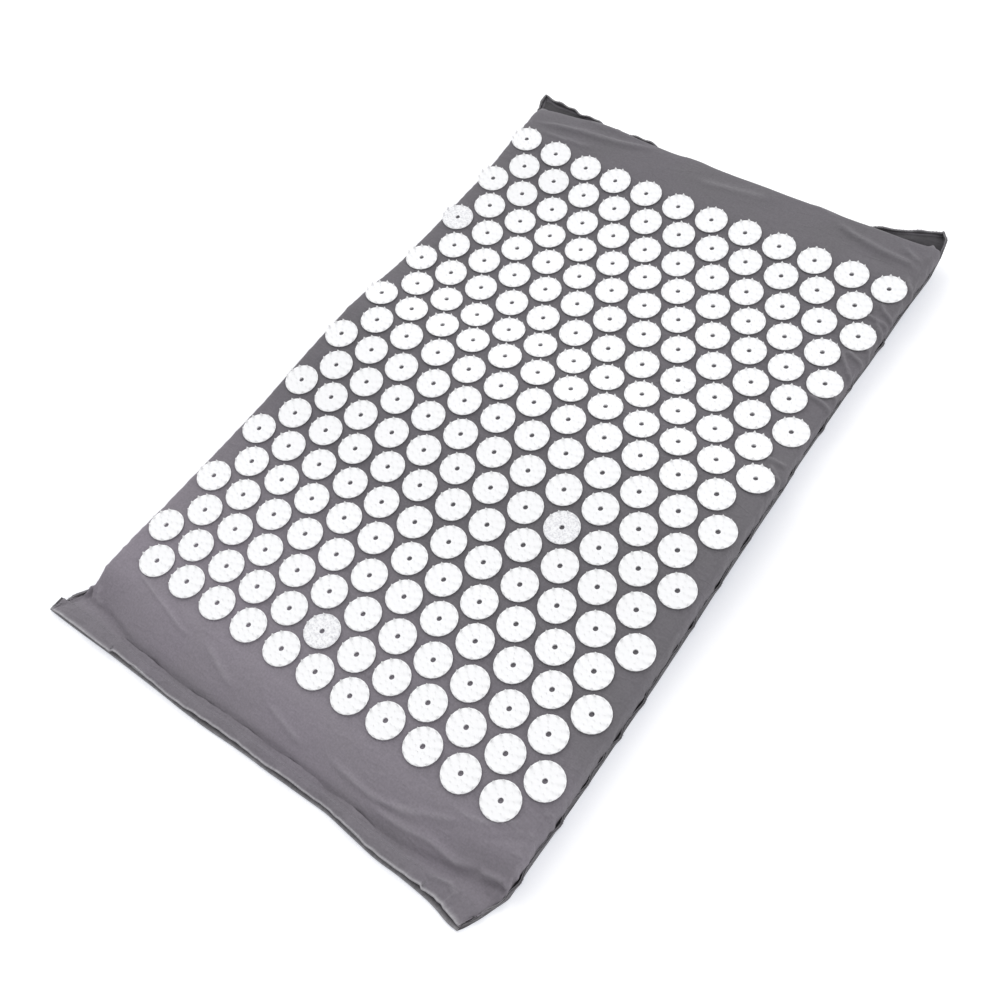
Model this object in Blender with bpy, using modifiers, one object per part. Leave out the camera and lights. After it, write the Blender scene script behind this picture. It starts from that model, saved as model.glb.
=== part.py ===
"""Acupressure mat: a cotton sleeve over a foam pad, set with 230 spiked rosettes.

The sleeve is sewn from a bottom and a top panel. Its far end is closed. Its near end has a mouth:
a flap held shut by two pairs of hook-and-loop patches, which lifts about the crease above it.
Units are metres. +X runs across the mat, +Y from the mouth to the closed end and +Z up, and the
origin is the bottom centre of the box round the whole mat.
"""
import math
import random

import bmesh
import bpy
from mathutils import Matrix, Vector
from mathutils.geometry import delaunay_2d_cdt

# Foam pad
FOAM_WIDTH = 0.412
FOAM_LENGTH = 0.607
FOAM_THICKNESS = 0.020
FOAM_EDGE = 0.0080          # how far in from its side the pad's top starts to round down
DISH = 0.0030               # how much lower the middle of the pad is than its long edges
EDGE_FULLNESS = 0.75        # 1 rounds the edge as an ellipse, less makes it squarer

# How the mat lies: it was stored folded in half, and its far end curls up
RIDGE_HEIGHT = 0.0080
RIDGE_FROM_MIDDLE = 0.0030
RIDGE_NEAR_RUN = 0.165      # from the ridge's crest to its foot, on each side
RIDGE_FAR_RUN = 0.078
CURL_HEIGHT = 0.0090        # how high the far edge lifts off the floor
CURL_RUN = 0.130
CURL_LEAN_SHARE = 0.25      # how much more its left end lifts than its middle

# Cloth and the clearance between neighbours
CLOTH = 0.0008
GAP = 0.0003
SEAM_GAP = 0.0005           # between the top panel's skirt and the bottom panel's raised seam
SEAM_WIDTH = 0.0012
SEAM_HEIGHT = 0.0045
SEAM_INSET = 0.0003         # the raised seam stands this far in from the bottom panel's edge

# Mouth end
RAMP_LENGTH = 0.0310        # from the pad's near edge to the crease
LIP_LENGTH = 0.0175         # from the crease to the flap's hem
LOWER_LIP_REACH = 0.0030    # the lower lip stands out this far beyond the flap
LIP_LEVEL = 0.0061          # height of the flap's upper face
MOUTH_FROM_SIDE = 0.052     # from the pad's long side in to the notch where the mouth starts
HEM_FOLD = 0.0120
MOUTH_CLEARANCE = 0.0005    # between the flap and the cloth beside and behind it
LEFT_FLARE = 0.019          # the left corner is pulled out, and the right one tucked in
RIGHT_TUCK = 0.017

# Far corners, where the sleeve is longer than the pad and makes ears
EAR_SIZE = 0.045            # how far in from the corner the cloth is pulled
LEFT_EAR_REACH = 0.029      # the left ear ends in a point
LEFT_EAR_SPREAD = 0.015
TAB_REACH = 0.022           # the right one is a square tab
TAB_WIDTH = 0.028
EAR_LIFT = 0.0060

# Hook-and-loop patches
PATCH_LENGTH = 0.058
PATCH_WIDTH = 0.0115
PATCH_THICKNESS = 0.0010
PATCH_CORNER = 0.0015
PATCH_FROM_NOTCH = 0.0205   # from the mouth's notch in to the patch
PATCH_FROM_HEM = 0.0003

# Rosettes, in rows of twelve and eleven by turns
PITCH_ACROSS = 0.034
PITCH_ALONG = 0.0279
FAR_MARGIN = 0.050          # from the pad's far edge to the first row's centres
NEAR_MARGIN = 0.0265        # the least from its near edge to the last row's centres
SIDE_MARGIN = 0.0188        # the least from its long sides to a row's outer centres
SINGLE_ROWS = 4             # rows at the mouth end whose rosettes are separate pieces
PLACING_ERROR = 0.0004
ROSETTE_RADIUS = 0.0145
PLATE = 0.0018
SPIKE = 0.0034
HOLE_RADIUS = 0.0021
GLUE_DEPTH = 0.0003         # how deep a fused rosette is sunk in the cloth
SEAT_SHARE = 0.7            # the cloth's height and slope are taken this far out from its middle
SPIKE_RINGS = (12, 9, 6)
SPIKE_RING_SHARES = (0.88, 0.59, 0.32)
VALLEY_RING_SHARES = (0.73, 0.45)
CORONET_SIDES = 10          # a fused rosette's rim, every second corner of it a spike
CORONET_DIP_SHARE = 0.5     # height of a fused rosette's middle, as a share of the plate
HOLE_SIDES = 6
SAME_POINT = 0.000004       # points nearer to each other than this are one
WHOLE_HULL = 0              # which triangles are kept when points and lines are triangulated
INSIDE_ONLY = 1
PLACING_SEED = 20

# Fineness of the cloth surfaces
EDGE_STEPS = 4
RAMP_STEPS = 5
CORNER_STEPS = 2
ACROSS_SHARES = (-1.0, -0.94, -0.78, -0.4, 0.0, 0.4, 0.78, 0.94, 1.0)
ALONG_SHARES = (1.0, 0.9, 0.75, 0.58, 0.27, 0.19, 0.11, 0.01, -0.14, -0.32, -0.56, -0.8)
CUT_OVERRUN = 0.004
ROUND_PROFILE = 0.5

CLOTH_GREY = (0.235, 0.225, 0.240, 1.0)
TAPE_GREY = (0.300, 0.300, 0.310, 1.0)
FOAM_WHITE = (0.860, 0.840, 0.780, 1.0)
PLASTIC_WHITE = (0.900, 0.900, 0.915, 1.0)

PAD_LOW = CLOTH + GAP
PAD_TOP = PAD_LOW + FOAM_THICKNESS
COVER_TOP = PAD_TOP + GAP + CLOTH
SKIRT_LOW = PAD_LOW + CLOTH                         # the foot of the top panel's skirt
WRAP = GAP + CLOTH                                  # from the pad to the cloth's outer face
HALF_WIDTH = FOAM_WIDTH / 2 + WRAP                  # the top panel's skirt, outer face
FAR_EDGE = FOAM_LENGTH / 2 + WRAP
NEAR_PAD = -FOAM_LENGTH / 2
CREASE = NEAR_PAD - RAMP_LENGTH
FLAP_HEM = CREASE - LIP_LENGTH
LOWER_HEM = FLAP_HEM - LOWER_LIP_REACH
RAMP_START = NEAR_PAD + FOAM_EDGE
FLAT_HALF = FOAM_WIDTH / 2 - FOAM_EDGE
FLAT_FAR = FOAM_LENGTH / 2 - FOAM_EDGE
OUTLINE_MARGIN = SEAM_GAP + SEAM_WIDTH + SEAM_INSET  # from the skirt to the bottom panel's edge
MOUTH_WIDTH = FOAM_WIDTH - 2 * MOUTH_FROM_SIDE
ROW_COUNT = 1 + int((FOAM_LENGTH - FAR_MARGIN - NEAR_MARGIN) / PITCH_ALONG)
LONG_ROW = 1 + int((FOAM_WIDTH - 2 * SIDE_MARGIN) / PITCH_ACROSS)
FIRST_ROW = FOAM_LENGTH / 2 - FAR_MARGIN
FOLD_RADIUS = CLOTH / 2


def smooth(value):
    """A step from 0 to 1 that starts and ends level."""
    value = min(max(value, 0.0), 1.0)
    return value * value * (3 - 2 * value)


def edge_curve(turn, width, height):
    """Distance in from the side, and height, on the rounded edge: turn 0 is its foot, 1 its top."""
    angle = turn * math.pi / 2
    inward = width * (1 - math.cos(angle) ** EDGE_FULLNESS)
    return inward, height * math.sin(angle) ** EDGE_FULLNESS


def pull(x, y, lift_share):
    """Move a point of the plain plan to where the pulled cloth lies.

    lift_share is 0 on the floor and 1 on the pad's top, which the corners' ears leave alone.
    """
    side = 1 if x > 0 else -1
    beside_mouth = smooth((abs(x) - MOUTH_WIDTH / 2) / (HALF_WIDTH - MOUTH_WIDTH / 2))
    slack = smooth((RAMP_START - y) / (RAMP_START - FLAP_HEM)) ** 2
    x_move = -(LEFT_FLARE if side < 0 else RIGHT_TUCK) * beside_mouth * slack
    corner = math.hypot(HALF_WIDTH + OUTLINE_MARGIN - abs(x), FAR_EDGE + OUTLINE_MARGIN - y)
    if side > 0:
        ear = smooth((EAR_SIZE - corner) / (EAR_SIZE - TAB_WIDTH)) * (1 - lift_share)
        return x + x_move, y + TAB_REACH * ear, EAR_LIFT * ear
    ear = max(0.0, 1 - corner / EAR_SIZE) ** 2 * (1 - lift_share)
    return x + x_move - LEFT_EAR_SPREAD * ear, y + LEFT_EAR_REACH * ear, EAR_LIFT * ear


def edge_stations(far_out, width, height):
    """The rounded edge as (place, share of the full height), from its foot in to its top."""
    stations = []
    for step in range(EDGE_STEPS):
        inward, rise = edge_curve(step / EDGE_STEPS, width, height)
        stations.append((far_out - inward, rise / height))
    return stations


def across_stations(width, height, half):
    """Lines along the mat as (x, share of the full height): edge, flat, edge."""
    edge = edge_stations(half, width, height)
    flat = [(share * FLAT_HALF, 1.0) for share in ACROSS_SHARES]
    return [(-x, share) for x, share in edge] + flat + edge[::-1]


def cloth_across():
    """The top panel's lines along the mat."""
    return across_stations(FOAM_EDGE + WRAP, COVER_TOP - SKIRT_LOW, HALF_WIDTH)


def cloth_along():
    """The top panel's lines across the mat as (y, share of the height, share of the slope)."""
    rows = [(y, share, 1.0)
            for y, share in edge_stations(FAR_EDGE, FOAM_EDGE + WRAP, COVER_TOP - SKIRT_LOW)]
    rows += [(share * FLAT_FAR, 1.0, 1.0) for share in ALONG_SHARES]
    for step in range(RAMP_STEPS + 1):
        y = RAMP_START + (CREASE - RAMP_START) * step / RAMP_STEPS
        rows.append((y, 1.0, (1 + math.cos(math.pi * step / RAMP_STEPS)) / 2))
    return rows + [(FLAP_HEM, 1.0, 0.0)]


def bend(x, y):
    """How high the mat lies off the floor: a ridge across its middle and a curled far end."""
    from_crest = y - RIDGE_FROM_MIDDLE
    run = RIDGE_FAR_RUN if from_crest > 0 else RIDGE_NEAR_RUN
    ridge = RIDGE_HEIGHT * smooth(1 - abs(from_crest) / run)
    curl = CURL_HEIGHT * smooth((y - FAR_EDGE + CURL_RUN) / CURL_RUN)
    return ridge + curl * (1 - CURL_LEAN_SHARE * x / HALF_WIDTH)


def lift(x, y):
    """The bend in straight lengths, between the lines that cross the flat of the pad."""
    places = [share * FLAT_FAR for share in ALONG_SHARES]
    for far, near in zip(places, places[1:]):
        if near <= y <= far:
            part = (y - near) / (far - near)
            return part * bend(x, far) + (1 - part) * bend(x, near)
    return bend(x, y)


def outline(margin):
    """The sleeve's plan, margin outside the skirt, as (x, y, lift, further lift of the corner's ear).

    It runs counter-clockwise from the near left corner.
    """
    half = HALF_WIDTH + margin
    far = FAR_EDGE + margin
    across = [-half] + [x for x, _ in cloth_across()[1:-1]] + [half]
    along = [far] + [y for y, _, _ in cloth_along()[1:]] + [LOWER_HEM]
    points = [(x, LOWER_HEM) for x in across]
    points += [(half, y) for y in reversed(along[:-1])]
    points += [(x, far) for x in reversed(across[:-1])]
    points += [(-half, y) for y in along[1:-1]]
    pulled = [(x, y, *pull(x, y, 0.0)) for x, y in points]
    return [(out_x, out_y, lift(x, y), ear) for x, y, out_x, out_y, ear in pulled]


def box_centre():
    """Middle of the whole mat's plan, which the origin stands on."""
    xs, ys, _, _ = zip(*outline(OUTLINE_MARGIN))
    return (min(xs) + max(xs)) / 2, (min(ys) + max(ys)) / 2


CENTRE_X, CENTRE_Y = box_centre()


def dish(x):
    """How much lower the pad is than at its long edges."""
    return DISH * (1 - (x / HALF_WIDTH) ** 2)


def cover_height(x, y):
    """The top panel's outer face on the flat of the pad."""
    return COVER_TOP - dish(x) + lift(x, y)


def new_object(name, mesh, material, collection):
    """Link a mesh as a named object with one material."""
    obj = bpy.data.objects.new(name, mesh)
    mesh.materials.append(material)
    collection.objects.link(obj)
    return obj


def make_material(name, colour, roughness):
    """A Principled material for one kind of piece."""
    material = bpy.data.materials.new(name)
    material.use_nodes = True
    shader = material.node_tree.nodes["Principled BSDF"]
    shader.inputs["Base Color"].default_value = colour
    shader.inputs["Roughness"].default_value = roughness
    shader.inputs["Metallic"].default_value = 0.0
    return material


def make_collection(name):
    """A collection in the scene."""
    collection = bpy.data.collections.new(name)
    bpy.context.scene.collection.children.link(collection)
    return collection


def mesh_from(name, bm):
    """Finish a bmesh with its faces pointing out."""
    bmesh.ops.recalc_face_normals(bm, faces=bm.faces)
    mesh = bpy.data.meshes.new(name)
    bm.to_mesh(mesh)
    bm.free()
    return mesh


def apply_modifiers(obj):
    """Swap an object's mesh for its evaluated one."""
    depsgraph = bpy.context.evaluated_depsgraph_get()
    mesh = bpy.data.meshes.new_from_object(obj.evaluated_get(depsgraph))
    obj.modifiers.clear()
    obj.data = mesh
    return obj


def add_boolean(obj, operation, other):
    """Cut or join another object, and apply it."""
    modifier = obj.modifiers.new(operation.lower(), "BOOLEAN")
    modifier.operation = operation
    modifier.solver = "EXACT"
    modifier.object = other
    apply_modifiers(obj)


def grid_mesh(name, rows, close_bottom=False):
    """A surface through rows of points, closed by strips from side to side where it is a solid."""
    bm = bmesh.new()
    grid = [[bm.verts.new(point) for point in row] for row in rows]
    for upper, lower in zip(grid, grid[1:]):
        for a, b, c, d in zip(upper, upper[1:], lower[1:], lower):
            bm.faces.new((a, b, c, d))
    if close_bottom:
        for upper, lower in zip(grid, grid[1:]):
            one_side = upper if upper is grid[0] else [upper[0], upper[-1]]
            other_side = lower if lower is grid[-1] else [lower[0], lower[-1]]
            bm.faces.new(one_side + other_side[::-1])
    return mesh_from(name, bm)


def top_cloth_rows():
    """The top panel's outer face, in rows from the far skirt to the hem of the sewn lips."""
    return [[cloth_point(x, y, across, along, ramp) for x, across in cloth_across()]
            for y, along, ramp in cloth_along()]


def cloth_point(x, y, across, along, ramp):
    """One point of the top panel's outer face, from its place and its three shares of height."""
    share = across * along
    full = SKIRT_LOW + share * (COVER_TOP - SKIRT_LOW - dish(x))
    beside = smooth((HALF_WIDTH - abs(x)) / (HALF_WIDTH - MOUTH_WIDTH / 2))
    lip = SKIRT_LOW + (LIP_LEVEL - SKIRT_LOW) * beside
    z = lip + (full - lip) * ramp
    moved_x, moved_y, ear = pull(x, y, share)
    return moved_x - CENTRE_X, moved_y - CENTRE_Y, z + ear + lift(x, y)


def foam_rows():
    """The foam pad's rounded top and sides, down to its underside."""
    columns = across_stations(FOAM_EDGE, FOAM_THICKNESS, FOAM_WIDTH / 2)
    end = edge_stations(FOAM_LENGTH / 2, FOAM_EDGE, FOAM_THICKNESS)
    rows = end + [(share * FLAT_FAR, 1.0) for share in ALONG_SHARES] + [(-FLAT_FAR, 1.0)]
    rows += [(-y, share) for y, share in reversed(end)]
    return [[(x - CENTRE_X, y - CENTRE_Y,
              PAD_LOW + lift(x, y) + across * along * (FOAM_THICKNESS - dish(x)))
             for x, across in columns] for y, along in rows]


def make_foam(material, collection):
    """The foam slab inside the sleeve."""
    return new_object("foam_pad", grid_mesh("foam_pad", foam_rows(), close_bottom=True),
                      material, collection)


def bottom_plate_mesh():
    """The lower sheet, which bends along lines that cross it from side to side."""
    rim = outline(OUTLINE_MARGIN)
    flat = [Vector((x, y)) for x, y, _, _ in rim]
    columns = len(cloth_across())
    along = len(rim) // 2 - columns
    left_start = 2 * columns + along
    bends = [(columns + along - 1 - line, left_start + line) for line in range(along)]
    edges = loop_edges(0, len(rim)) + [pair for pair in bends if rim[pair[0]][1] < FAR_EDGE]
    _, _, faces, origins, _, _ = delaunay_2d_cdt(flat, edges, [], INSIDE_ONLY, SAME_POINT)
    bm = bmesh.new()
    lows, highs = [[bm.verts.new((x - CENTRE_X, y - CENTRE_Y, base + side)) for x, y, base, _ in rim]
                   for side in (0.0, CLOTH)]
    for face in faces:
        corners = [origins[index][0] for index in face]
        bm.faces.new([highs[index] for index in corners])
        bm.faces.new([lows[index] for index in reversed(corners)])
    for here, there in loop_edges(0, len(rim)):
        bm.faces.new((lows[here], lows[there], highs[there], highs[here]))
    return mesh_from("bottom_panel", bm)


def seam_ring_mesh():
    """The raised seam along both long sides and the far end, as a strip of even width."""
    near_right = len(cloth_across()) - 1
    outer = outline(OUTLINE_MARGIN - SEAM_INSET)
    inner = outline(SEAM_GAP)
    foot = CLOTH / 2
    bm = bmesh.new()
    sections = []
    for out, into in zip(outer[near_right:] + outer[:1], inner[near_right:] + inner[:1]):
        points = [(out[0], out[1], out[2] + foot), (out[0], out[1], out[2] + out[3] + SEAM_HEIGHT),
                  (into[0], into[1], into[2] + into[3] + SEAM_HEIGHT), (into[0], into[1], into[2] + foot)]
        sections.append([bm.verts.new((x - CENTRE_X, y - CENTRE_Y, z)) for x, y, z in points])
    for here, there in zip(sections, sections[1:]):
        for side in range(4):
            after = (side + 1) % 4
            bm.faces.new((here[side], here[after], there[after], there[side]))
    bm.faces.new(sections[0])
    bm.faces.new(list(reversed(sections[-1])))
    return mesh_from("seam_ring", bm)


def make_bottom_panel(material, collection, cutters):
    """The sleeve's lower sheet, with its seam standing up along three sides."""
    panel = new_object("bottom_panel", bottom_plate_mesh(), material, collection)
    ring = new_object("seam_ring", seam_ring_mesh(), material, cutters)
    hide(ring)
    add_boolean(panel, "UNION", ring)
    return panel


def hide(obj):
    """Mark a cutter or a guide."""
    obj.hide_render = True
    obj.display_type = "WIRE"


def rosette_places():
    """Row, place in the row, x, y and turn of every rosette, the far row first."""
    chance = random.Random(PLACING_SEED)
    places = []
    y = FIRST_ROW
    for row in range(1, ROW_COUNT + 1):
        count = LONG_ROW - (row - 1) % 2
        for place in range(1, count + 1):
            x = (place - (count + 1) / 2) * PITCH_ACROSS
            places.append((row, place,
                           x + chance.uniform(-PLACING_ERROR, PLACING_ERROR),
                           y + chance.uniform(-PLACING_ERROR, PLACING_ERROR),
                           chance.uniform(0.0, math.tau / SPIKE_RINGS[0])))
        y -= PITCH_ALONG
    return places


def seat_matrix(x, y, turn, rise):
    """Where a rosette's back lies: level with the cloth round it, rise above it."""
    reach = ROSETTE_RADIUS * SEAT_SHARE
    left, right = cover_height(x - reach, y), cover_height(x + reach, y)
    near, far = cover_height(x, y - reach), cover_height(x, y + reach)
    normal = Vector((left - right, near - far, 2 * reach)).normalized()
    tilt = Vector((0, 0, 1)).rotation_difference(normal).to_matrix().to_4x4()
    height = (left + right + near + far) / 4
    spot = Vector((x - CENTRE_X, y - CENTRE_Y, height)) + normal * rise
    return Matrix.Translation(spot) @ tilt @ Matrix.Rotation(turn, 4, "Z")


def ring_points(count, radius, height, turn_share=0.0):
    """Points evenly round a circle, turned by a share of their spacing."""
    angles = [(place + turn_share) * math.tau / count for place in range(count)]
    return [(radius * math.cos(angle), radius * math.sin(angle), height) for angle in angles]


def loop_edges(start, count):
    """Index pairs round a closed ring of points."""
    return [(start + place, start + (place + 1) % count) for place in range(count)]


def ring_faces(points, rim_count, hole_count):
    """Triangles between the rim, first in the list, and the hole, which comes after it."""
    flat = [Vector((x, y)) for x, y, _ in points]
    edges = loop_edges(0, rim_count) + loop_edges(rim_count, hole_count)
    verts, _, faces, origins, _, _ = delaunay_2d_cdt(flat, edges, [], WHOLE_HULL, SAME_POINT)
    inside = HOLE_RADIUS * math.cos(math.pi / HOLE_SIDES)
    kept = []
    for face in faces:
        middle = sum((verts[index] for index in face), Vector((0, 0))) / len(face)
        if middle.length > inside:
            kept.append([origins[index][0] for index in face])
    return kept


def spiked_rosette_mesh():
    """A rosette with its three rings of spikes, the valleys between them and its centre hole."""
    rim = SPIKE_RINGS[0]
    upper = ring_points(rim, ROSETTE_RADIUS, PLATE, 0.5)
    upper += ring_points(HOLE_SIDES, HOLE_RADIUS, PLATE)
    for count, share in zip(SPIKE_RINGS, SPIKE_RING_SHARES):
        upper += ring_points(count, share * ROSETTE_RADIUS, PLATE + SPIKE)
    for count, share in zip(SPIKE_RINGS, VALLEY_RING_SHARES):
        upper += ring_points(count, share * ROSETTE_RADIUS, PLATE, 0.5)
    lower = ring_points(rim, ROSETTE_RADIUS, 0.0, 0.5) + ring_points(HOLE_SIDES, HOLE_RADIUS, 0.0)
    bm = bmesh.new()
    tops = [bm.verts.new(point) for point in upper]
    feet = [bm.verts.new(point) for point in lower]
    for face in ring_faces(upper, rim, HOLE_SIDES):
        bm.faces.new([tops[index] for index in face])
    for face in ring_faces(lower, rim, HOLE_SIDES):
        bm.faces.new([feet[index] for index in reversed(face)])
    for a, b in loop_edges(0, rim) + loop_edges(rim, HOLE_SIDES):
        bm.faces.new((feet[a], feet[b], tops[b], tops[a]))
    return mesh_from("rosette", bm)


def make_single_rosettes(material, collection):
    """The rosettes of the rows nearest the mouth, each a piece of its own."""
    mesh = spiked_rosette_mesh()
    mesh.materials.append(material)
    for row, place, x, y, turn in rosette_places():
        if row <= ROW_COUNT - SINGLE_ROWS:
            continue
        obj = bpy.data.objects.new("rosette_%02d_%02d" % (row, place), mesh)
        obj.matrix_world = seat_matrix(x, y, turn, GAP)
        collection.objects.link(obj)


def coronet_mesh():
    """A rosette with few faces: a ring of rim spikes round a dip, and its back in the cloth."""
    bm = bmesh.new()
    depth = PLATE + GLUE_DEPTH
    bmesh.ops.create_cone(bm, cap_ends=True, segments=CORONET_SIDES, radius1=ROSETTE_RADIUS,
                          radius2=ROSETTE_RADIUS, depth=depth,
                          matrix=Matrix.Translation((0, 0, depth / 2 - GLUE_DEPTH)))
    top = max(bm.faces, key=lambda face: face.calc_center_median().z)
    for vert in list(top.verts)[::2]:
        vert.co.z += SPIKE
    middle = bmesh.ops.poke(bm, faces=[top])["verts"][0]
    middle.co.z = PLATE * CORONET_DIP_SHARE
    return mesh_from("coronet", bm)


def fused_rosettes_mesh():
    """The rosettes of the far rows, where they lie, as separate shells in one mesh."""
    one = coronet_mesh()
    bm = bmesh.new()
    for row, _, x, y, turn in rosette_places():
        if row > ROW_COUNT - SINGLE_ROWS:
            continue
        before = len(bm.verts)
        bm.from_mesh(one)
        bm.verts.ensure_lookup_table()
        bmesh.ops.transform(bm, matrix=seat_matrix(x, y, turn, 0.0), verts=bm.verts[before:])
    return mesh_from("fused_rosettes", bm)


def make_top_panel(material, collection, cutters):
    """The sleeve's upper sheet, with the mouth cut out of its lip and most rosettes on it."""
    panel = new_object("top_panel", grid_mesh("top_panel", top_cloth_rows()), material, collection)
    shell = panel.modifiers.new("thickness", "SOLIDIFY")
    shell.thickness = CLOTH
    shell.offset = -1.0
    panel.modifiers.new("facets", "TRIANGULATE")
    apply_modifiers(panel)
    reach = LIP_LENGTH + LOWER_LIP_REACH + CUT_OVERRUN
    far_side = CREASE + FOLD_RADIUS + MOUTH_CLEARANCE
    size = (MOUTH_WIDTH, reach, LIP_LEVEL + CUT_OVERRUN)
    centre = (-CENTRE_X, far_side - reach / 2 - CENTRE_Y, size[2] / 2)
    cutter = new_object("mouth_cutter", box_mesh("mouth_cutter", size, centre), material, cutters)
    hide(cutter)
    add_boolean(panel, "DIFFERENCE", cutter)
    rosettes = new_object("fused_rosettes", fused_rosettes_mesh(), material, cutters)
    hide(rosettes)
    add_boolean(panel, "UNION", rosettes)
    return panel


def box_mesh(name, size, centre):
    """A plain box."""
    bm = bmesh.new()
    place = Matrix.Translation(centre) @ Matrix.Diagonal((*size, 1.0))
    bmesh.ops.create_cube(bm, size=1.0, matrix=place)
    return mesh_from(name, bm)


def make_mouth_flap(material, collection):
    """The strip of the upper lip that lifts: a rolled edge in the crease, and a hem folded under."""
    radius = FOLD_RADIUS
    turns = [step * math.pi / EDGE_STEPS for step in range(EDGE_STEPS + 1)]
    profile = [(radius * math.sin(turn), radius * math.cos(turn)) for turn in turns]
    profile += [(HEM_FOLD - LIP_LENGTH, -radius), (HEM_FOLD - LIP_LENGTH, -radius - CLOTH),
                (-LIP_LENGTH, -radius - CLOTH), (-LIP_LENGTH, radius)]
    half = MOUTH_WIDTH / 2 - MOUTH_CLEARANCE
    bm = bmesh.new()
    face = bm.faces.new([bm.verts.new((-half, y, z)) for y, z in profile])
    grown = bmesh.ops.extrude_face_region(bm, geom=[face])["geom"]
    verts = [part for part in grown if isinstance(part, bmesh.types.BMVert)]
    bmesh.ops.translate(bm, vec=Vector((2 * half, 0, 0)), verts=verts)
    flap = new_object("mouth_flap", mesh_from("mouth_flap", bm), material, collection)
    flap.location = (-CENTRE_X, CREASE - CENTRE_Y, LIP_LEVEL - radius)
    return flap


def make_patches(flap, material, collection):
    """Hook patches on the lower lip, and loop patches over them, carried by the flap."""
    hook_low = CLOTH + GAP
    loop_low = LIP_LEVEL - 2 * CLOTH - GAP - PATCH_THICKNESS
    hook_high = loop_low - GAP
    y = FLAP_HEM + PATCH_FROM_HEM + PATCH_WIDTH / 2 - CENTRE_Y
    from_centre = MOUTH_WIDTH / 2 - PATCH_FROM_NOTCH - PATCH_LENGTH / 2
    for side, sign in (("left", -1), ("right", 1)):
        x = sign * from_centre - CENTRE_X
        hook = new_object("hook_patch_" + side, patch_mesh(hook_high - hook_low), material, collection)
        hook.location = (x, y, (hook_low + hook_high) / 2)
        loop = new_object("loop_patch_" + side, patch_mesh(PATCH_THICKNESS), material, collection)
        loop.parent = flap
        loop.location = Vector((x, y, loop_low + PATCH_THICKNESS / 2)) - flap.location


def patch_mesh(thickness):
    """A flat patch with rounded corners."""
    bm = bmesh.new()
    size = Matrix.Diagonal((PATCH_LENGTH, PATCH_WIDTH, thickness, 1.0))
    bmesh.ops.create_cube(bm, size=1.0, matrix=size)
    upright = [edge for edge in bm.edges if (edge.verts[0].co - edge.verts[1].co).xy.length < GAP]
    bmesh.ops.bevel(bm, geom=upright, offset=PATCH_CORNER, segments=CORNER_STEPS, affect="EDGES",
                    profile=ROUND_PROFILE)
    return mesh_from("patch", bm)


def main():
    """Build the mat in an empty scene."""
    for old in list(bpy.data.objects):
        bpy.data.objects.remove(old, do_unlink=True)
    parts = make_collection("acupressure_mat")
    cutters = make_collection("cutters")
    cotton = make_material("cotton", CLOTH_GREY, 0.9)
    tape = make_material("hook_and_loop_tape", TAPE_GREY, 0.95)
    foam = make_material("foam", FOAM_WHITE, 0.95)
    plastic = make_material("rosette_plastic", PLASTIC_WHITE, 0.35)
    make_foam(foam, parts)
    make_bottom_panel(cotton, parts, cutters)
    make_top_panel(cotton, parts, cutters)
    flap = make_mouth_flap(cotton, parts)
    make_patches(flap, tape, parts)
    make_single_rosettes(plastic, parts)


main()
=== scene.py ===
"""Acupressure mat, dressed: a cotton sleeve over a foam pad, set with 230 spiked rosettes.

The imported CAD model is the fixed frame. This script makes the cloth with its seams, hems, folds and
stitches, the hook-and-loop mouth, the foam and the rosettes, and gives each its finish. The
surfaces are grids worked out with numpy from the same named sizes as the CAD, in metres.
"""
from __future__ import annotations

import logging
import math
import random
from dataclasses import dataclass, fields
from enum import Enum

import bpy
import numpy as np
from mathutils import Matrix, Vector

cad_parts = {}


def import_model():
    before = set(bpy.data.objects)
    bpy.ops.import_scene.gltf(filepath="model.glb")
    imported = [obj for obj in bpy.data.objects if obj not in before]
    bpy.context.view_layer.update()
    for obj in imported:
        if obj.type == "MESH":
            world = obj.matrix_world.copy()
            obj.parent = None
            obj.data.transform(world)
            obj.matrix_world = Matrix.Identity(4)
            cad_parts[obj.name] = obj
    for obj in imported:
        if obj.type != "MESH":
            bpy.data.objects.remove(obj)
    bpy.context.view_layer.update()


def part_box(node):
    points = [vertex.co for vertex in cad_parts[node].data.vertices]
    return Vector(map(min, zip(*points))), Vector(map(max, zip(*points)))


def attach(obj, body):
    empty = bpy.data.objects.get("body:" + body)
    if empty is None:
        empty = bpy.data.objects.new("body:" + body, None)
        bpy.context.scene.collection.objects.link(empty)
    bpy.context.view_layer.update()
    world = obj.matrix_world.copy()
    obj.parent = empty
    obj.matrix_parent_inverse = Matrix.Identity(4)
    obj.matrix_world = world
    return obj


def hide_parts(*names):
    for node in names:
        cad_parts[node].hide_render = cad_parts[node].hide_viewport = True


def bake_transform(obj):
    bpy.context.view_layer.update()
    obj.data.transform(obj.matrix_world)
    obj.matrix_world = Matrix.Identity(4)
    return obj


log = logging.getLogger("acupressure_mat")

Grid = np.ndarray
Piece = bpy.types.Object
Socket = bpy.types.NodeSocket
Colour = tuple[float, float, float, float]
Pair = tuple[float, float]
Place = tuple[float, float, float]

MM = 0.001
CLOTH = 0.0008
GAP = 0.0003
LAYER = CLOTH + GAP
UP = (0.0, 0.0, 1.0)


class Body(Enum):
    """The CAD bodies that the pieces ride on."""

    MAT = "mat"
    FLAP = "flap"


class Slot(Enum):
    """The record's material slots."""

    COTTON = "cotton"
    TAPE = "hook_and_loop_tape"
    FOAM = "foam"
    PLASTIC = "rosette_plastic"


class TapeKind(Enum):
    """The two halves of a hook-and-loop pair."""

    HOOK = "hook"
    LOOP = "loop"


def smooth(value: Grid | float) -> Grid:
    """A step from 0 to 1 that starts and ends level: 3v^2 - 2v^3 on the clipped value."""
    value = np.clip(value, 0.0, 1.0)
    return value * value * (3 - 2 * value)


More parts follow.
